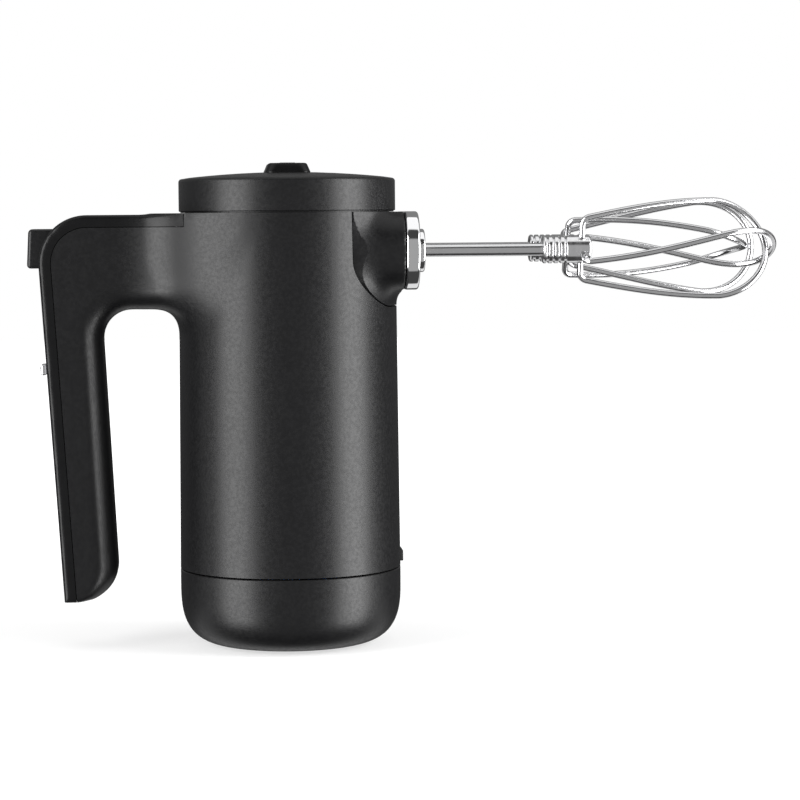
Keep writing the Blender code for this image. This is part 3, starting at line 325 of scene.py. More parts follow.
# %% Plastics
GLOSS_CLOUD = 700.0
TINT_CLOUD = 160.0


def moulded(name, colour, roughness, grain=0.02, scale=3200.0, spread=0.05, gloss=0.25):
    """Moulded plastic: a grain in its height, in mm, and a faint cloud in its gloss and its colour."""
    made = Finish(name, colour, roughness)
    made.feed("Specular IOR Level", gloss)
    cloud = made.noise(GLOSS_CLOUD, 3.0)
    made.feed("Roughness", made.ramp(cloud, 0.3, 0.7, roughness - spread, roughness + spread))
    lift = tuple(c * 1.3 + 0.001 for c in colour)
    made.feed("Base Color", made.tint(made.noise(TINT_CLOUD, 4.0), colour, lift))
    made.bump(made.noise(scale, 2.0, 0.6), grain * MM, 0.5)
    return made.material


BODY_BLACK = moulded("body_black", (0.0030, 0.0030, 0.0033), 0.37)
COVER_BLACK = moulded("cover_black", (0.0022, 0.0022, 0.0024), 0.31, spread=0.02, gloss=0.17)
BUTTON_BLACK = moulded("button_black", (0.0040, 0.0040, 0.0043), 0.32)
RUBBER_BLACK = moulded("rubber_black", (0.012, 0.012, 0.012), 0.66, 0.04, 2200.0)
FRAME_GREY = moulded("frame_grey", (0.16, 0.165, 0.18), 0.5)
NYLON_WHITE = moulded("nylon_white", (0.66, 0.64, 0.57), 0.42)
CELL_BLUE = moulded("cell_blue", (0.02, 0.10, 0.34), 0.3, 0.01)
BOARD_GREEN = moulded("board_green", (0.012, 0.11, 0.045), 0.3, 0.02)
# The control overlay's pale grey is partly its own colour and partly a painted highlight: its edge gives
# the light line along the handle's back.
PANEL_GREY_AND_PAINTED_HIGHLIGHT = moulded("panel_grey_and_painted_highlight", (0.16, 0.16, 0.165), 0.32, 0.012)


# %% Metals
def metal(name, colour, roughness, spread, stretch):
    """Bright metal with faint streaks left by polishing or turning, stretched along one direction."""
    made = Finish(name, colour, roughness, 1.0)
    lines = made.noise(1.0, 3.0, 0.5, made.stretched(stretch))
    made.feed("Roughness", made.ramp(lines, 0.3, 0.7, max(0.02, roughness - spread), roughness + spread))
    dull = tuple(c * 0.86 for c in colour)
    made.feed("Base Color", made.tint(made.noise(90.0, 3.0), colour, dull))
    made.bump(lines, 0.001 * MM, 0.2)
    return made.material


EVEN = (400.0, 400.0, 400.0)
CHROME = metal("chrome", (0.88, 0.88, 0.89), 0.06, 0.02, EVEN)
WIRE_STEEL = metal("wire_steel", (0.70, 0.70, 0.71), 0.18, 0.02, EVEN)
HUB_STEEL = metal("hub_steel", (0.80, 0.80, 0.81), 0.2, 0.05, (700.0, 60.0, 60.0))
PART_STEEL = metal("part_steel", (0.58, 0.58, 0.59), 0.3, 0.08, EVEN)
BRONZE = metal("sintered_bronze", (0.46, 0.29, 0.14), 0.48, 0.06, (900.0, 900.0, 900.0))
MAGNET = metal("magnet_dark", (0.12, 0.12, 0.13), 0.45, 0.05, EVEN)
print("materials:", len(bpy.data.materials))

# %% [markdown]
# ## The finish of the inner works
# The pieces inside keep the frame's own shapes. Each only gets the material its real counterpart has.

# %% Paint the frame's own nodes
INNER = {
    "rotor_core": MAGNET,
    "motor_magnet": MAGNET,
    "battery_cell": CELL_BLUE,
    "board": BOARD_GREEN,
    "bush": BRONZE,
    "worm_wheel": NYLON_WHITE,
    "speed_slider": NYLON_WHITE,
    "motor_end_cap": NYLON_WHITE,
    "motor_mount": NYLON_WHITE,
    "yoke": FRAME_GREY,
    "battery": FRAME_GREY,
    "gearbox": FRAME_GREY,
    "socket": FRAME_GREY,
}
for name, node in frame["nodes"].items():
    finish = next((INNER[key] for key in INNER if key in name), PART_STEEL)
    if not node.material_slots:
        node.data.materials.append(finish)
    for place in node.material_slots:
        place.material = finish
print("painted:", len(frame["nodes"]), "nodes")


# %% The last step of every piece
def finished(item, material, body, *nodes, degrees=32, slot=None):
    """The last step of every piece: finish, shading, the body it rides on and the nodes it stands for."""
    item.data.materials.clear()
    item.data.materials.append(material)
    shaded(item, degrees)
    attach(item, body)
    if nodes:
        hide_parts(*nodes)
    print(f"{item.name}: {len(item.data.polygons)} faces")
    return item


# %% [markdown]
# ## Solid forms as distance fields
# The housing and its handle are one moulding, and no crease shows where they meet. A sum does this
# well: give each form a function that says how far a point lies outside it, then blend the two
# distances. A voxel remesh of rough blocks gives an even skin, and each of its points then slides
# onto the surface where the sum is zero.


# %% Distance fields
def smoothstep(value, low, high):
    t = np.clip((value - low) / (high - low), 0, 1)
    return t * t * (3 - 2 * t)


def blend_union(a, b, reach):
    """Smooth union: the fillet starts where the two distances differ by less than reach."""
    share = np.clip(0.5 + 0.5 * (b - a) / reach, 0, 1)
    return b * (1 - share) + a * share - reach * share * (1 - share)


def outline_distance(u, v, outline):
    """Distance from points to a closed outline, negative inside."""
    nearest = np.full(len(u), np.inf)
    inside = np.zeros(len(u), bool)
    for (au, av), (bu, bv) in zip(outline, outline[1:] + outline[:1]):
        eu, ev = bu - au, bv - av
        wu, wv = u - au, v - av
        t = np.clip((wu * eu + wv * ev) / max(eu * eu + ev * ev, 1e-18), 0, 1)
        nearest = np.minimum(nearest, (wu - eu * t) ** 2 + (wv - ev * t) ** 2)
        if av != bv:
            inside ^= ((av <= v) != (bv <= v)) & (u < eu * (v - av) / ev + au)
    return np.where(inside, -1, 1) * np.sqrt(nearest)


def rounded_slab(flat, across, radius):
    """A flat outline with thickness, whose long edges are rounded to radius."""
    u, v = flat + radius, across + radius
    return np.minimum(np.maximum(u, v), 0) + np.hypot(np.maximum(u, 0), np.maximum(v, 0)) - radius


def tube_distance(x, y, z):
    share = (z - BASE_SEAM_Z) / (LID_SEAM_Z - BASE_SEAM_Z)
    return np.hypot(x, y) - (RADIUS_BOTTOM + (RADIUS_TOP - RADIUS_BOTTOM) * share)


def skinned(name, blocks, field, voxel, rounds=5):
    """One mesh round all the blocks, each point moved onto the field's zero."""
    bm = bmesh.new()
    for block in blocks:
        bm.from_mesh(block.data)
        bpy.data.objects.remove(block)
    item = mesh_from(bm, name)
    remesh = item.modifiers.new("voxels", "REMESH")
    remesh.mode = "VOXEL"
    remesh.voxel_size = voxel
    evaluated(item)
    points = np.empty(len(item.data.vertices) * 3)
    item.data.vertices.foreach_get("co", points)
    points = points.reshape(-1, 3)
    step = 0.02 * MM
    for _ in range(rounds):
        value = field(*points.T)
        slope = np.stack([field(*(points + step * axis).T) - value for axis in np.eye(3)], axis=1) / step
        size = np.maximum((slope**2).sum(axis=1), 0.05)
        move = np.clip(value / size, -2 * MM, 2 * MM)
        points = points - slope * move[:, None]
    item.data.vertices.foreach_set("co", points.ravel())
    item.data.update()
    return item


# %% [markdown]
# ## The handle's side view
# The handle hangs from the top of the housing and ends free. Its outer line is a flat top, a quarter
# bend and a straight back that leans in towards the foot. Its inner line leaves room for four
# fingers.

# %% Handle outline
BACK_TOP = (-107.8 * MM, 167.6 * MM)
BACK_LOW = (-98.8 * MM, HANDLE_LOW_Z)
CORNER = 20.8 * MM
COVER_DEPTH = 5.3 * MM
PANEL_DEPTH = 1.2 * MM
BACK = Vector((BACK_LOW[0] - BACK_TOP[0], BACK_LOW[1] - BACK_TOP[1])).normalized()
INTO = Vector((-BACK.y, BACK.x))
CORNER_END = math.degrees(math.atan2(BACK.x, -BACK.y)) + 180


def back_point(z, depth):
    """A point at a depth under the back line, measured square to it."""
    along = (z - BACK_TOP[1]) / BACK.y
    return (BACK_TOP[0] + along * BACK.x + depth / INTO.x, z)


def back_line(depth, low_z, end_x, steps=40, start=90):
    """The outer line at a depth: the top, the bend and the back, or from part way round the bend."""
    z = HANDLE_TOP_Z - CORNER
    centre = (back_point(z, CORNER)[0], z)
    bend = arc(centre, CORNER - depth, start, CORNER_END, steps)
    top = [(end_x, HANDLE_TOP_Z - depth)] if start == 90 else []
    return top + bend + [back_point(low_z, depth)]


GAP_TOP_Z = 147.8 * MM
GAP_LEFT = -80.4 * MM
GAP_BEND = 12.5 * MM
GRIP_LOW_X = -75.4 * MM


def handle_outline():
    """The whole handle from the side, cover and all."""
    line = back_line(0, HANDLE_LOW_Z, -20 * MM)
    line += [(-92.5 * MM, HANDLE_LOW_Z)]
    line += arc((GRIP_LOW_X - 16 * MM, HANDLE_LOW_Z + 16 * MM), 16 * MM, -72, 0, 20)
    line += arc((GAP_LEFT + GAP_BEND, GAP_TOP_Z - GAP_BEND), GAP_BEND, 180, 90, 24)
    line += [(-20 * MM, GAP_TOP_Z)]
    return line


HANDLE_LINE = handle_outline()


FLARE_X = -76 * MM
FLARE_REACH = 28 * MM
FLARE_SLOPE = 0.60
FLARE_MOST = 29 * MM
FLARE_SOFT = 2.2 * MM


def half_width(x):
    """The bridge widens like a drop until it meets the housing along a tangent."""
    share = np.maximum((x - FLARE_X) / FLARE_REACH, 0)
    wide = HANDLE_WIDTH / 2 + FLARE_SLOPE * FLARE_REACH * np.where(share < 1, share**2 / 2, share - 0.5)
    return -np.logaddexp(-wide / FLARE_SOFT, -FLARE_MOST / FLARE_SOFT) * FLARE_SOFT


def handle_distance(x, y, z):
    flat = outline_distance(x, z, HANDLE_LINE)
    depth = np.minimum((x - BACK_TOP[0] - (z - BACK_TOP[1]) * BACK.x / BACK.y) * INTO.x, HANDLE_TOP_Z - z)
    radius = (2.2 + 9.3 * smoothstep(depth, 5 * MM, 20 * MM)) * MM
    return rounded_slab(flat, np.abs(y) - half_width(x), radius)


def housing_distance(x, y, z):
    reach = (12 + 6 * smoothstep(z, 150 * MM, 172 * MM)) * MM
    return blend_union(tube_distance(x, y, z), handle_distance(x, y, z), reach)


# %% One skin for the tube and the handle
def tube_block(low):
    """A plain cylinder, a little larger than the housing's tube, that a skin is shrunk from."""
    radius, high = 48 * MM, 196 * MM
    return turned("tube", [(0, high), (radius, high), (radius, low), (0, low)], 96)


def housing_skin():
    tube = tube_block(26 * MM)
    grip = prism("grip", HANDLE_LINE, -HANDLE_WIDTH / 2, HANDLE_WIDTH / 2, SIDE)
    sides = [(x, float(half_width(x))) for x in (-76 * MM, -62 * MM, -48 * MM, -32 * MM, -10 * MM)]
    plan = sides + [(x, -y) for x, y in sides[::-1]]
    flare = prism("flare", plan, GAP_TOP_Z + 1 * MM, HANDLE_TOP_Z - 1 * MM, Matrix.Identity(4))
    skin = skinned("main_housing_skin", [tube, grip, flare], housing_distance, 1.25 * MM)
    slab = box_between("slab", (-0.2, -0.1, HANDLE_LOW_Z - 10 * MM), (0.2, 0.1, LID_SEAM_Z - SEAM))
    return boolean(skin, slab, "INTERSECT")


skin = housing_skin()
print("skin:", len(skin.data.polygons), "faces")


# %% [markdown]
# ## Cutting the skin into its mouldings
# The cover strip is flush with the grip beside it, so both are cut from the same skin: the band under
# the outer line is the cover, and the rest is the housing. The 0.3 mm between them is the dark seam.
# Behind it a rib on the cover and a key on the housing stop the light, as a tongue and groove does on
# a real handle.


# %% Housing and cover strip
def copy_of(item, name):
    return link(name, item.data.copy())


RIB = 1.4 * MM
RIB_HALF = 10.5 * MM
RIB_LOW_Z = HANDLE_LOW_Z + 3 * MM
RIB_END_X = -48.5 * MM


def band(name, near, far, low_z, end_x, half=60 * MM):
    outline = back_line(near, low_z, end_x) + back_line(far, low_z, end_x)[::-1]
    return prism(name, outline, -half, half, SIDE)


def end_key(name, grow):
    """A block of the housing that the cover's end straddles, so that no light comes through the seam."""
    low = Vector((RIB_END_X + 0.2 * MM - grow, -6 * MM - grow, 100 * MM))
    return box_between(name, low, (COVER_END_X + 3 * MM, 6 * MM + grow, 200 * MM))


def inner_tube(name, low_z, high_z, grow=0.0):
    radius = [RADIUS_BOTTOM - WALL + grow, RADIUS_TOP - WALL + grow]
    return turned(name, [(0, high_z), (radius[1], high_z), (radius[0], low_z), (0, low_z)], 160)


def nose_outline(grow):
    """The nose cover's edge from the front: straight sides and a round foot."""
    half, low, bend = 39 * MM + grow, 148.8 * MM - grow, 20 * MM + grow
    foot = arc((-half + bend, low + bend), bend, 180, 270, 24)
    foot += arc((half - bend, low + bend), bend, 270, 360, 24)
    top = LID_SEAM_Z + 2 * MM
    return [(-half, top)] + foot + [(half, top)]


def button_room(name, grow, depth=20 * MM):
    low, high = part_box("eject_button")
    gap = Vector((depth, grow, grow))
    room = box_between(name, low - gap, high + gap)
    return rounded(room, 2.2 * MM, 3, 80)


def main_housing(skin):
    body = copy_of(skin, "main_housing_form")
    low = BASE_SEAM_Z + SEAM
    foot = turned("foot", [(0, low), (60 * MM, low), (60 * MM, 0), (0, 0)], 24)
    boolean(body, foot)
    boolean(body, inner_tube("bore", 30 * MM, 200 * MM))
    room = band("cover_room", -20 * MM, COVER_DEPTH + 0.15 * MM, -0.05, COVER_END_X + 0.25 * MM)
    boolean(room, end_key("key", 0.0))
    boolean(body, room)
    reach, half = COVER_DEPTH + RIB + 0.2 * MM, RIB_HALF + 0.2 * MM
    boolean(body, band("rib_room", 4 * MM, reach, RIB_LOW_Z - 0.2 * MM, RIB_END_X + 0.2 * MM, half))
    boolean(body, prism("nose_room", nose_outline(SEAM), 10 * MM, 90 * MM, FRONT))
    boolean(body, button_room("button_pocket", 0.6 * MM, 5.6 * MM))
    low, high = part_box("charge_port_cover")
    gap = Vector((3, 0.4, 0.4)) * MM
    boolean(body, box_between("port_room", low - gap, high + gap))
    return finished(body, BODY_BLACK, "housing", "main_housing")


def handle_cover(skin):
    strip = copy_of(skin, "handle_cover_form")
    keep = band("cover_band", -20 * MM, COVER_DEPTH - 0.15 * MM, -0.05, COVER_END_X)
    rib = band("cover_rib", 4 * MM, COVER_DEPTH + RIB, RIB_LOW_Z, RIB_END_X, RIB_HALF)
    boolean(keep, rib, "UNION")
    boolean(strip, keep, "INTERSECT")
    boolean(strip, inner_tube("bore", 100 * MM, 200 * MM, 0.3 * MM))
    boolean(strip, end_key("key_room", 0.15 * MM))
    return strip


main_housing(skin)
strip = handle_cover(skin)
bpy.data.objects.remove(skin)

# %% [markdown]
# ## The control overlay
# A thin grey overlay is let into the cover's back. It starts part way round the bend, runs behind the
# eject button and the speed lever, and stops short of the foot. Seen from the side only its edge
# shows, as a fine light line. That pale grey is partly the overlay's own colour and partly a painted
# highlight: the fine light line stands in for the light that the rim of the handle's back catches.


# %% Control overlay and the openings through it
PANEL_WIDTH = size_of("control_panel").y
PANEL_START = 118


def overlay(name, outer, inner, half, end_gap=0.0):
    low = HANDLE_LOW_Z + 1.2 * MM + end_gap
    start = PANEL_START + math.degrees(end_gap / CORNER)
    outline = back_line(outer, low, 0, 30, start) + back_line(inner, low, 0, 30, start)[::-1]
    return prism(name, outline, -half, half, SIDE)


def on_back(item, node):
    """Moves a mesh made round the origin to a node's place on the grip's back, leaning with the back."""
    low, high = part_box(node)
    x, z = back_point((low.z + high.z) / 2, 0)
    lean = Matrix.Rotation(math.atan2(-BACK.x, -BACK.y), 4, "Y")
    return placed(item, Matrix.Translation((x, 0, z)) @ lean)


def lever_room(name):
    travel = next(j["range_m"][1] for j in frame["joints"] if j["name"] == "speed_slide")
    half, over = 2.3 * MM, 1.9 * MM
    slot = box_between(name, (-6 * MM, -half, -over), (9 * MM, half, over + travel))
    return on_back(slot, "speed_lever")


def control_panel():
    panel = overlay("control_panel_form", 0.0, PANEL_DEPTH - 0.1 * MM, PANEL_WIDTH / 2, 0.2 * MM)
    boolean(panel, button_room("room", 0.5 * MM))
    boolean(panel, lever_room("slot"))
    rounded(panel, 0.25 * MM, 2, 50)
    # The overlay's grey finish is partly a painted highlight: the light line along the handle's back.
    return finished(panel, PANEL_GREY_AND_PAINTED_HIGHLIGHT, "housing", "control_panel", slot="cover_black")


boolean(strip, overlay("panel_seat", -10 * MM, PANEL_DEPTH, PANEL_WIDTH / 2 + 0.2 * MM))
boolean(strip, button_room("room", 0.5 * MM))
boolean(strip, lever_room("slot"))
finished(strip, COVER_BLACK, "housing", "handle_cover")
control_panel()

# %% [markdown]
# ## Button and lever
# The eject button is a rounded black block whose face leans back a little. The speed lever is a small
# bright nub on a stem, with a dip for the thumb.


# %% Eject button and speed lever
FACE_LEAN = 0.05


def eject_button():
    low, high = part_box("eject_button")
    block = box_between("eject_button_form", low, high)
    for corner in block.data.vertices:
        if corner.co.x < (low.x + high.x) / 2:
            corner.co.x += (corner.co.z - low.z) * FACE_LEAN
    rounded(block, 1.7 * MM, 5, 60)
    return finished(block, BUTTON_BLACK, "ejector", "eject_button")


def speed_lever():
    wide, tall = 5.5 * MM, 2.4 * MM
    nub = box_between("speed_lever_form", (-3.0 * MM, -wide, -tall), (-0.3 * MM, wide, tall))
    rounded(nub, 1.1 * MM, 5, 60)
    dip = turned("dip", arc((0, 0), 9 * MM, 90, -90, 32), 48, Matrix.Translation((-11.2 * MM, 0, 0)))
    boolean(nub, dip)
    stem = box_between("stem", (-1.5 * MM, -2.0 * MM, -1.5 * MM), (8.8 * MM, 2.0 * MM, 1.5 * MM))
    boolean(nub, stem, "UNION")
    on_back(nub, "speed_lever")
    return finished(nub, CHROME, "speed_control", "speed_lever")


eject_button()
speed_lever()

# %% [markdown]
# ## Lid and base
# Both are turned shapes. The lid's rim has a tight radius that catches a thin line of light, and the
# base is a bowl whose corner is rounder than a circle's, so that it looks soft but stands on a wide
# flat.


# %% Lid
RIM_Z = 204.2 * MM
TONGUE = 6.8 * MM
TONGUE_OUT = RADIUS_TOP - WALL - 0.25 * MM
TONGUE_IN = RADIUS_TOP - WALL - 1.3 * MM
CROWN_STEPS = (0, 0.15, 0.3, 0.45, 0.6, 0.72, 0.82, 0.9)


def lid():
    """The rim steps in over the seam and drops a tongue inside, so that no light comes through."""
    low, high = LID_LOW.z, LID_HIGH.z
    radius, edge = RADIUS_TOP, 1.4 * MM
    crown = [(radius * t, high - (high - RIM_Z) * t * t) for t in CROWN_STEPS]
    bend = arc((radius - edge, RIM_Z - edge), edge, 76, 0, 14)
    step, hem = radius - 0.7 * MM, low - SEAM + 0.1 * MM
    foot = [(radius, low + 0.3 * MM), (radius - 0.3 * MM, low), (step, low), (step, hem)]
    tongue = [(TONGUE_OUT, hem), (TONGUE_OUT, low - TONGUE), (TONGUE_IN, low - TONGUE)]
    inside = [(TONGUE_IN, RIM_Z - 5 * MM), (radius - 5 * MM, RIM_Z - WALL), (0, high - WALL)]
    cover = turned("lid_form", crown + bend + foot + tongue + inside, 192)
    return finished(cover, BODY_BLACK, "housing", "lid")


# %% Base cap and foot pad
def base_curve(inset, steps):
    """A quarter of a rounded square, from the wall down to the flat."""
    flat, tall, power = 24 * MM, 27 * MM, 2.9
    across = RADIUS_BOTTOM - flat - inset
    points = []
    for i in range(steps + 1):
        turn = math.pi / 2 * i / steps
        radius = flat + across * math.cos(turn) ** (2 / power)
        points.append((radius, CAP_LOW.z + tall - (tall - inset) * math.sin(turn) ** (2 / power)))
    return points


def base_cap():
    top, radius, edge = BASE_SEAM_Z, RADIUS_BOTTOM, 0.35 * MM
    seat, seat_z, inside_z = 23.8 * MM, 2.1 * MM, 6.2 * MM
    outer = [(radius - WALL, top), (radius - edge, top), (radius, top - edge)]
    outer += base_curve(0, 40) + [(seat, CAP_LOW.z), (seat, seat_z), (0, seat_z)]
    inner = [(0, inside_z)] + [(r, z) for r, z in base_curve(WALL, 24)[::-1] if z > inside_z]
    bowl = turned("base_cap_form", inner + outer, 192)
    return finished(bowl, BODY_BLACK, "housing", "base_cap")


def foot_pad():
    """A disc that stands on two raised rings."""
    low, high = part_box("foot_pad")
    radius, lift = high.x, 0.5 * MM
    outer_ring = [(radius, lift), (radius - 0.5 * MM, 0), (radius - 3.4 * MM, 0), (radius - 4 * MM, lift)]
    inner_ring = [(radius - 4.6 * MM, 0), (radius - 8 * MM, 0), (radius - 8.6 * MM, lift), (0, lift)]
    pad = turned("foot_pad_form", [(0, high.z), (radius, high.z)] + outer_ring + inner_ring, 128)
    return finished(pad, RUBBER_BLACK, "housing", "foot_pad")


lid()
base_cap()
foot_pad()


# %% [markdown]
# ## The raised badge on the lid
# A low black pad with sloping sides carries a small bright plate. The plate is left blank.


# %% Badge
TOP_SHARE_X = 0.82
TOP_SHARE_Y = 0.88
SUNK = 0.9 * MM


def badge():
    low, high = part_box("badge_boss")
    bm = bmesh.new()
    bmesh.ops.create_cube(bm, size=1)
    bmesh.ops.scale(bm, vec=high - low, verts=bm.verts)
    bmesh.ops.translate(bm, vec=(high + low) / 2, verts=bm.verts)
    for corner in bm.verts:
        if corner.co.z > low.z + 1 * MM:
            corner.co.x *= TOP_SHARE_X
            corner.co.y *= TOP_SHARE_Y
        else:
            corner.co.z -= SUNK
    upright = [e for e in bm.edges if abs(e.verts[0].co.z - e.verts[1].co.z) > 1 * MM]
    bmesh.ops.bevel(bm, geom=upright, offset=4 * MM, segments=8, affect="EDGES", profile=0.5)
    pad = mesh_from(bm, "badge_boss_form")
    rounded(pad, 0.8 * MM, 4, 50)
    low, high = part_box("badge_plate")
    gap = Vector((0.15, 0.15, 0.15)) * MM
    room = rounded(box_between("room", low - gap, high + Vector((gap.x, gap.y, 5 * MM))), 1.2 * MM, 4, 50)
    boolean(pad, room)
    finished(pad, COVER_BLACK, "housing", "badge_boss")
    plate = rounded(box_between("badge_plate_form", low, high), 0.3 * MM, 3, 50)
    finished(plate, CHROME, "housing", "badge_plate")


badge()

# %% [markdown]
# ## The nose
# The nose cover is a piece of the same tube with a neck that swells out of it. The neck's section is
# two half circles joined by flats, and a soft fillet runs round its root, so it is made as a blended
# field too.

# %% Nose cover
NECK_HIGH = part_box("nose_panel")[1]
NECK_HALF = NECK_HIGH.y - 0.7 * MM
NECK_RADIUS = (BEZEL_HIGH.z - BEZEL_LOW.z) / 2
NECK_FRONT = NECK_HIGH.x


def stadium(inset, steps=24):
    """The neck's section: half circles at each side."""
    centre, radius = NECK_HALF - NECK_RADIUS, NECK_RADIUS - inset
    right = arc((centre, AXIS_Z), radius, -90, 90, steps)
    return right + arc((-centre, AXIS_Z), radius, 90, 270, steps)


def neck_distance(x, y, z):
    across = np.hypot(np.maximum(np.abs(y) - (NECK_HALF - NECK_RADIUS), 0), z - AXIS_Z) - NECK_RADIUS
    return rounded_slab(across, x - NECK_FRONT, 0.4 * MM)


def nose_distance(x, y, z):
    return blend_union(tube_distance(x, y, z), neck_distance(x, y, z), 7 * MM)


def nose_panel():
    tube = tube_block(140 * MM)
    neck = prism("neck", stadium(0), 0, NECK_FRONT, FRONT)
    skin = skinned("nose_panel_form", [tube, neck], nose_distance, 1.0 * MM)
    boolean(skin, prism("edge", nose_outline(0), 12 * MM, 80 * MM, FRONT), "INTERSECT")
    slab = box_between("slab", (-0.1, -0.1, 0.1), (0.1, 0.1, LID_SEAM_Z - SEAM))
    boolean(skin, slab, "INTERSECT")
    boolean(skin, inner_tube("bore", 30 * MM, 200 * MM))
    boolean(skin, prism("hollow", stadium(2.8 * MM), 0, 80 * MM, FRONT))
    return finished(skin, BODY_BLACK, "housing", "nose_panel")


# %% Bezel and socket plate
def nose_bezel():
    rear, front = BEZEL_LOW.x, BEZEL_HIGH.x
    ring = prism("nose_bezel_form", stadium(0, 32), rear, front, FRONT)
    rounded(ring, 1.1 * MM, 5, 60)
    boolean(ring, prism("hollow", stadium(3 * MM, 32), 0, 80 * MM, FRONT))
    return finished(ring, CHROME, "housing", "nose_bezel")


def collar(side):
    rear, front = PLATE_LOW.x, PLATE_HIGH.x
    long, radius, edge = front - rear, 9.3 * MM, 0.9 * MM
    hole = 3.15 * MM
    profile = [(hole + 0.6 * MM, long), (radius - edge, long)]
    profile += arc((radius - edge, long - edge), edge, 80, 0, 6)
    profile += [(radius, 0.2 * MM), (hole, 0.2 * MM), (hole, long - 0.6 * MM)]
    place = Matrix.Translation((rear, side * SPACING / 2, AXIS_Z)) @ ALONG_X
    return turned("collar", profile, 96, place)


def socket_plate():
    rear = PLATE_LOW.x
    plate = prism("socket_plate_form", stadium(3.3 * MM, 32), rear, rear + 3 * MM, FRONT)
    rounded(plate, 0.4 * MM, 3, 60)
    bore, deep = 6.2 * MM, 20 * MM
    for side in (1, -1):
        place = Matrix.Translation((rear, side * SPACING / 2, AXIS_Z)) @ ALONG_X
        boolean(plate, turned("room", [(0, deep), (bore, deep), (bore, -deep), (0, -deep)], 64, place))
    for side in (1, -1):
        boolean(plate, collar(side), "UNION")
    return finished(plate, CHROME, "housing", "socket_plate")


nose_panel()
nose_bezel()
socket_plate()


# %% [markdown]
# ## Charge port cover
# A small rubber flap closes the inlet just above the base. It stands a little proud of the housing,
# and a groove across its upper edge gives a fingernail something to pull.


# %% Charge port cover
def charge_port_cover():
    low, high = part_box("charge_port_cover")
    flap = box_between("charge_port_cover_form", low, high)
    rounded(flap, 0.45 * MM, 4, 60)
    groove_low = (high.x - 0.5 * MM, low.y + 3 * MM, high.z - 1.3 * MM)
    groove_high = (high.x + 1 * MM, high.y - 3 * MM, high.z - 0.8 * MM)
    boolean(flap, box_between("groove", groove_low, groove_high))
    return finished(flap, RUBBER_BLACK, "port_flap", "charge_port_cover")


charge_port_cover()

# %% [markdown]
# ## Whisks
# Each whisk is two loops of spring wire. A loop leaves the ferrule square to it, bends forward,
# widens, and turns round the axis by about a sixth of a turn before it crosses the tip. Geometry
# Nodes sweep a circle along each path, so one tree serves every wire.

# %% A node tree that makes wire from a path
def wire_tree():
    tree = bpy.data.node_groups.new("wire_from_path", "GeometryNodeTree")
    tree.interface.new_socket("Path", in_out="INPUT", socket_type="NodeSocketGeometry")
    tree.interface.new_socket("Radius", in_out="INPUT", socket_type="NodeSocketFloat")
    tree.interface.new_socket("Sides", in_out="INPUT", socket_type="NodeSocketInt")
    tree.interface.new_socket("Finish", in_out="INPUT", socket_type="NodeSocketMaterial")
    tree.interface.new_socket("Wire", in_out="OUTPUT", socket_type="NodeSocketGeometry")
    add, join = tree.nodes.new, tree.links.new
    given, out = add("NodeGroupInput"), add("NodeGroupOutput")
    path, circle = add("GeometryNodeMeshToCurve"), add("GeometryNodeCurvePrimitiveCircle")
    sweep, finish = add("GeometryNodeCurveToMesh"), add("GeometryNodeSetMaterial")
    solid = add("GeometryNodeRealizeInstances")
    sweep.inputs["Fill Caps"].default_value = True
    join(given.outputs["Path"], path.inputs["Mesh"])
    join(given.outputs["Radius"], circle.inputs["Radius"])
    join(given.outputs["Sides"], circle.inputs["Resolution"])
    join(path.outputs["Curve"], sweep.inputs["Curve"])
    join(circle.outputs["Curve"], sweep.inputs["Profile Curve"])
    join(sweep.outputs["Mesh"], solid.inputs["Geometry"])
    join(solid.outputs["Geometry"], finish.inputs["Geometry"])
    join(given.outputs["Finish"], finish.inputs["Material"])
    join(finish.outputs["Geometry"], out.inputs["Wire"])
    return tree


WIRE_TREE = wire_tree()


def wire(name, points, radius, sides, material):
    """A wire along a list of points."""
    mesh = bpy.data.meshes.new(name)
    mesh.from_pydata(points, [(i, i + 1) for i in range(len(points) - 1)], [])
    item = link(name, mesh)
    maker = item.modifiers.new("wire", "NODES")
    maker.node_group = WIRE_TREE
    sockets = {s.name: s.identifier for s in WIRE_TREE.interface.items_tree if s.in_out == "INPUT"}
    maker[sockets["Radius"]] = radius
    maker[sockets["Sides"]] = sides
    maker[sockets["Finish"]] = material
    evaluated(item)
    bm = bmesh.new()
    bm.from_mesh(item.data)
    bmesh.ops.remove_doubles(bm, verts=bm.verts, dist=1e-7)
    bmesh.ops.recalc_face_normals(bm, faces=bm.faces)
    bm.to_mesh(item.data)
    bm.free()
    return item


# %% Whisk loops
WIRE_RADIUS = 1.38 * MM
LOOP_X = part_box("whisk_hub_left")[1].x - 3.9 * MM
LOOP_RADIUS = 14.7 * MM
LOOP_BEND = 3.5 * MM
WIDE_X = LOOP_X + 59.1 * MM
WIDE_RADIUS = 21.4 * MM
TIP_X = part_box("whisk_loop_a_left")[1].x - WIRE_RADIUS
TWIST = math.radians(54)
WIRE_END = 3.4 * MM


def arm(tip_x):
    """One arm as (x, radius): out of the ferrule, round a bend, along the cage and over to the tip."""
    bend = arc((LOOP_X + LOOP_BEND, LOOP_RADIUS - LOOP_BEND), LOOP_BEND, 180, 95, 12)
    points = [(LOOP_X, WIRE_END), (LOOP_X, 7.5 * MM)] + bend
    first_x, first_r = points[-1]
    steps = 44
    for i in range(1, steps):
        share = i / steps
        swell = (share + math.sin(share * math.pi / 2)) / 2
        points.append((first_x + (WIDE_X - first_x) * share, first_r + (WIDE_RADIUS - first_r) * swell))
    for i in range(28):
        turn = math.pi / 2 * i / 28
        points.append((WIDE_X + (tip_x - WIDE_X) * math.sin(turn), WIDE_RADIUS * math.cos(turn)))
    return points


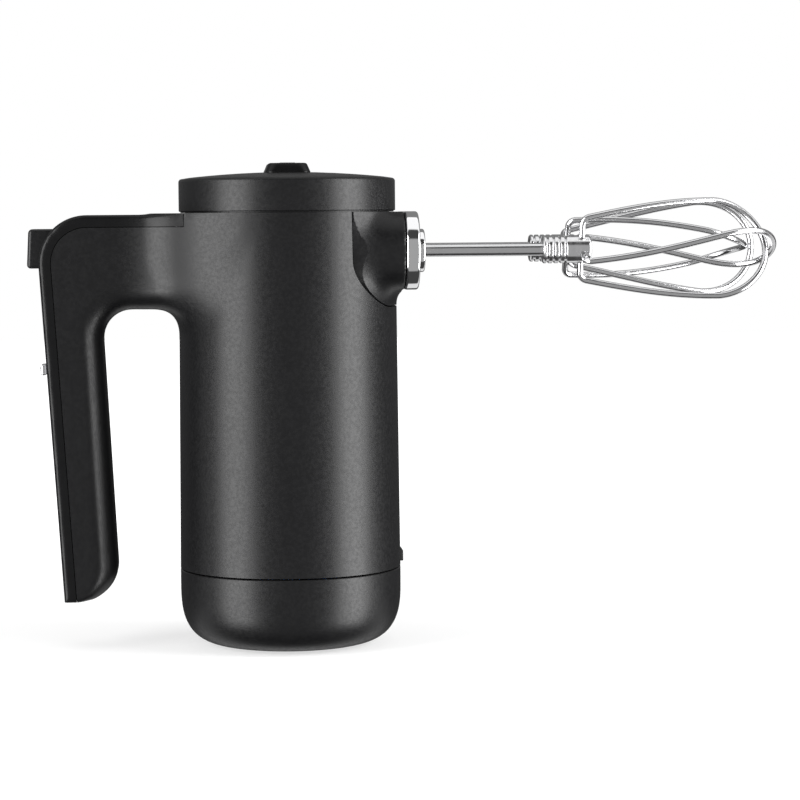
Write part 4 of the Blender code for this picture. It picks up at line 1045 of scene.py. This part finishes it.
def loop_points(y, first, twist, tip_x):
    def place(x, radius, turn):
        angle = first + turn + twist * max(0.0, x - LOOP_X) / (TIP_X - LOOP_X)
        return (x, y + radius * math.cos(angle), AXIS_Z + radius * math.sin(angle))

    line = arm(tip_x)
    return [place(*p, 0) for p in line] + [(tip_x, y, AXIS_Z)] + [place(*p, math.pi) for p in line[::-1]]


# %% Ferrule and shaft
HUB_LOW, HUB_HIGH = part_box("whisk_hub_left")
HUB_RADIUS = (HUB_HIGH.z - HUB_LOW.z) / 2


def hub(side, y):
    """Turned ferrule: four rounded ribs at the rear, then a plain barrel that holds the wires."""
    length = HUB_HIGH.x - HUB_LOW.x
    pitch, groove, shaft = 2.6 * MM, 0.9 * MM, 3.0 * MM
    profile = [(0, length), (HUB_RADIUS - 1.2 * MM, length)]
    profile += arc((HUB_RADIUS - 1.2 * MM, length - 1.2 * MM), 1.2 * MM, 85, 0, 8)
    for rib in range(4, 0, -1):
        x = rib * pitch
        profile += arc((HUB_RADIUS - 0.4 * MM, x + 0.1 * MM), 0.4 * MM, 0, -90, 4)
        profile += arc((HUB_RADIUS - groove + 0.35 * MM, x - 0.65 * MM), 0.35 * MM, 90, 270, 5)
        profile += arc((HUB_RADIUS - 0.4 * MM, x - 1.4 * MM), 0.4 * MM, 90, 0, 4)
    edge, bore = 0.5 * MM, 12 * MM
    profile += [(HUB_RADIUS, edge), (HUB_RADIUS - edge, 0), (shaft, 0), (shaft, bore), (0, bore)]
    place = Matrix.Translation((HUB_LOW.x, y, AXIS_Z)) @ ALONG_X
    item = turned(f"whisk_hub_{side}_form", profile, 64, place)
    return finished(item, HUB_STEEL, f"whisk_{side}", f"whisk_hub_{side}", degrees=40)


def shaft(side, y):
    """Bright round shaft with a six-sided tail inside the spindle."""
    low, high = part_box(f"whisk_shaft_{side}")
    radius = (high.y - low.y) / 2
    step = 53.4 * MM
    round_part = turned("round", [(0, high.x), (radius, high.x), (radius, step), (0, step)], 64)
    tail = turned("tail", [(0, step + 1 * MM), (radius, step + 1 * MM), (radius, low.x), (0, low.x)], 6)
    boolean(round_part, tail, "UNION")
    round_part.name = f"whisk_shaft_{side}_form"
    placed(round_part, Matrix.Translation((0, y, AXIS_Z)) @ ALONG_X)
    return finished(round_part, WIRE_STEEL, f"whisk_{side}", f"whisk_shaft_{side}")


def whisk(side, y, first, twist):
    body = f"whisk_{side}"
    tips = {"a": TIP_X, "b": TIP_X - 2 * WIRE_RADIUS - 0.5 * MM}
    for turn, (letter, tip_x) in enumerate(tips.items()):
        points = loop_points(y, first + turn * math.pi / 2, twist, tip_x)
        loop = wire(f"whisk_loop_{letter}_{side}_form", points, WIRE_RADIUS, 20, WIRE_STEEL)
        finished(loop, WIRE_STEEL, body, f"whisk_loop_{letter}_{side}", degrees=50)
    hub(side, y)
    shaft(side, y)


for side, way, first in (("left", 1, 31), ("right", -1, 202)):
    whisk(side, way * SPACING / 2, math.radians(first), way * TWIST)

# %% [markdown]
# ## Return spring
# Behind the eject button a coil of music wire sits round the push rod, between the rod's collar and
# the end of the hollow grip.


# %% Return spring of the eject button
SPRING_WIRE = 0.5 * MM
SPRING_TURNS = 4
POINTS_PER_TURN = 28


def return_spring():
    low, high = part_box("eject_spring")
    middle = (low + high) / 2
    reach = (high.z - low.z) / 2 - SPRING_WIRE
    first, last = low.x + SPRING_WIRE, high.x - SPRING_WIRE
    points = []
    for i in range(SPRING_TURNS * POINTS_PER_TURN + 1):
        angle = math.tau * i / POINTS_PER_TURN
        x = first + (last - first) * i / (SPRING_TURNS * POINTS_PER_TURN)
        points.append((x, middle.y + reach * math.cos(angle), middle.z + reach * math.sin(angle)))
    thin = SPRING_WIRE * 0.98
    spring = shaded(wire("eject_spring_form", points, thin, 12, PART_STEEL), 60)
    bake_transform(spring)
    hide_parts("eject_spring")
    print(f"{spring.name}: {len(spring.data.polygons)} faces")


return_spring()

# %% [markdown]
# ## Studio
# Black plastic and bright metal are only as good as what they mirror. The room is nearly dark, with
# bands of light at chosen heights, which give the metals their light and dark bars. Two tall soft
# boxes draw the long highlights down the round housing. The camera itself sees plain white behind the
# mixer, so every view has the same clean ground.


# %% Floor and surround
FLOOR_GLOW = 0.62
FLOOR_GLOW_FAR = 1.1
ROOM = 0.06
# Each band: its start and end in degrees, up from level in front and over to the back, and its light.
BANDS = ((-66, 38, 0.36), (62, 118, 1.1), (108, 200, 0.18), (-150, -112, 0.8))
BAND_EDGE = 6


def floor():
    bm = bmesh.new()
    bmesh.ops.create_grid(bm, x_segments=2, y_segments=2, size=3)
    item = mesh_from(bm, "floor")
    item.data.transform(Matrix.Translation((0, 0, FLOOR_Z)))
    paint = Finish("floor_white", (0.40, 0.40, 0.40), 0.7)
    paint.feed("Specular IOR Level", 0.0)
    seen = paint.node("ShaderNodeLightPath", {}, output="Is Camera Ray")
    paint.feed("Emission Color", (1, 1, 1, 1))
    away = paint.node("ShaderNodeVectorMath", {"operation": "LENGTH"}, paint.place, output="Value")
    paint.feed("Emission Strength", seen * paint.ramp(away, 0.16, 0.6, FLOOR_GLOW, FLOOR_GLOW_FAR))
    item.data.materials.append(paint.material)
    item.visible_glossy = item.visible_diffuse = item.visible_shadow = False


def surround():
    world = bpy.context.scene.world or bpy.data.worlds.new("World")
    bpy.context.scene.world = world
    world.use_nodes = True
    room = Nodes(world.node_tree)
    way = room.node("ShaderNodeTexCoord", {}, output="Generated")
    side, back, up = room.node("ShaderNodeSeparateXYZ", {}, way).outputs()
    height = room.node("ShaderNodeMath", {"operation": "ARCTAN2"}, up, 0 - back)

    glow = ROOM
    for start, end, light in BANDS:
        low, high, soft = (math.radians(v) for v in (start, end, BAND_EDGE))
        rise = room.ramp(height, low, low + soft, 0.0, 1.0)
        fall = room.ramp(height, high - soft, high, light, 0.0)
        glow = glow + rise * fall
    seen = room.node("ShaderNodeLightPath", {}, output="Is Camera Ray")
    end = world.node_tree.nodes["Background"]
    end.inputs["Color"].default_value = (1, 1, 1, 1)
    strength = glow * (1 - seen) + seen
    world.node_tree.links.new(strength.socket, end.inputs["Strength"])


HOUSING_MIDDLE_Z = 110 * MM


def soft_box(name, azimuth, elevation, distance, width, height, power):
    """An area light that faces the housing's middle. Azimuth is from the front, positive to the right."""
    turn, lift = math.radians(azimuth), math.radians(elevation)
    way = Vector((math.sin(turn) * math.cos(lift), -math.cos(turn) * math.cos(lift), math.sin(lift)))
    light = bpy.data.lights.new(name, "AREA")
    light.shape = "RECTANGLE"
    light.size = width
    light.size_y = height
    light.energy = power
    item = bpy.data.objects.new(name, light)
    bpy.context.scene.collection.objects.link(item)
    item.location = Vector((0, 0, HOUSING_MIDDLE_Z)) + way * distance
    item.rotation_euler = way.to_track_quat("Z", "Y").to_euler()


# %% Light the studio
floor()
surround()
soft_box("key_left", -59, 0, 1.0, 0.58, 1.5, 25)
soft_box("key_right", 66, 0, 1.0, 0.58, 1.5, 31)

# %% [markdown]
# ## Camera
# The view is level with the whisks, straight at the mixer's side, from a little over a metre away
# with a long lens, so that the two whisks nearly hide one another.

# %% Camera
FOCUS = Vector((48.9, 0, 106.5)) * MM
EYE = Vector((-44, -1200, 188)) * MM
ROLL = math.radians(-0.45)
lens = bpy.data.cameras.new("camera")
lens.lens = 123.1
lens.sensor_width = 36
lens.clip_start = 0.05
camera = bpy.data.objects.new("camera", lens)
bpy.context.scene.collection.objects.link(camera)
camera.location = EYE
aim = (FOCUS - EYE).to_track_quat("-Z", "Y").to_matrix() @ Matrix.Rotation(ROLL, 3, "Z")
camera.rotation_euler = aim.to_euler()
bpy.context.scene.camera = camera
bpy.context.scene.view_settings.view_transform = "Standard"

# %% Finish
bpy.context.view_layer.update()
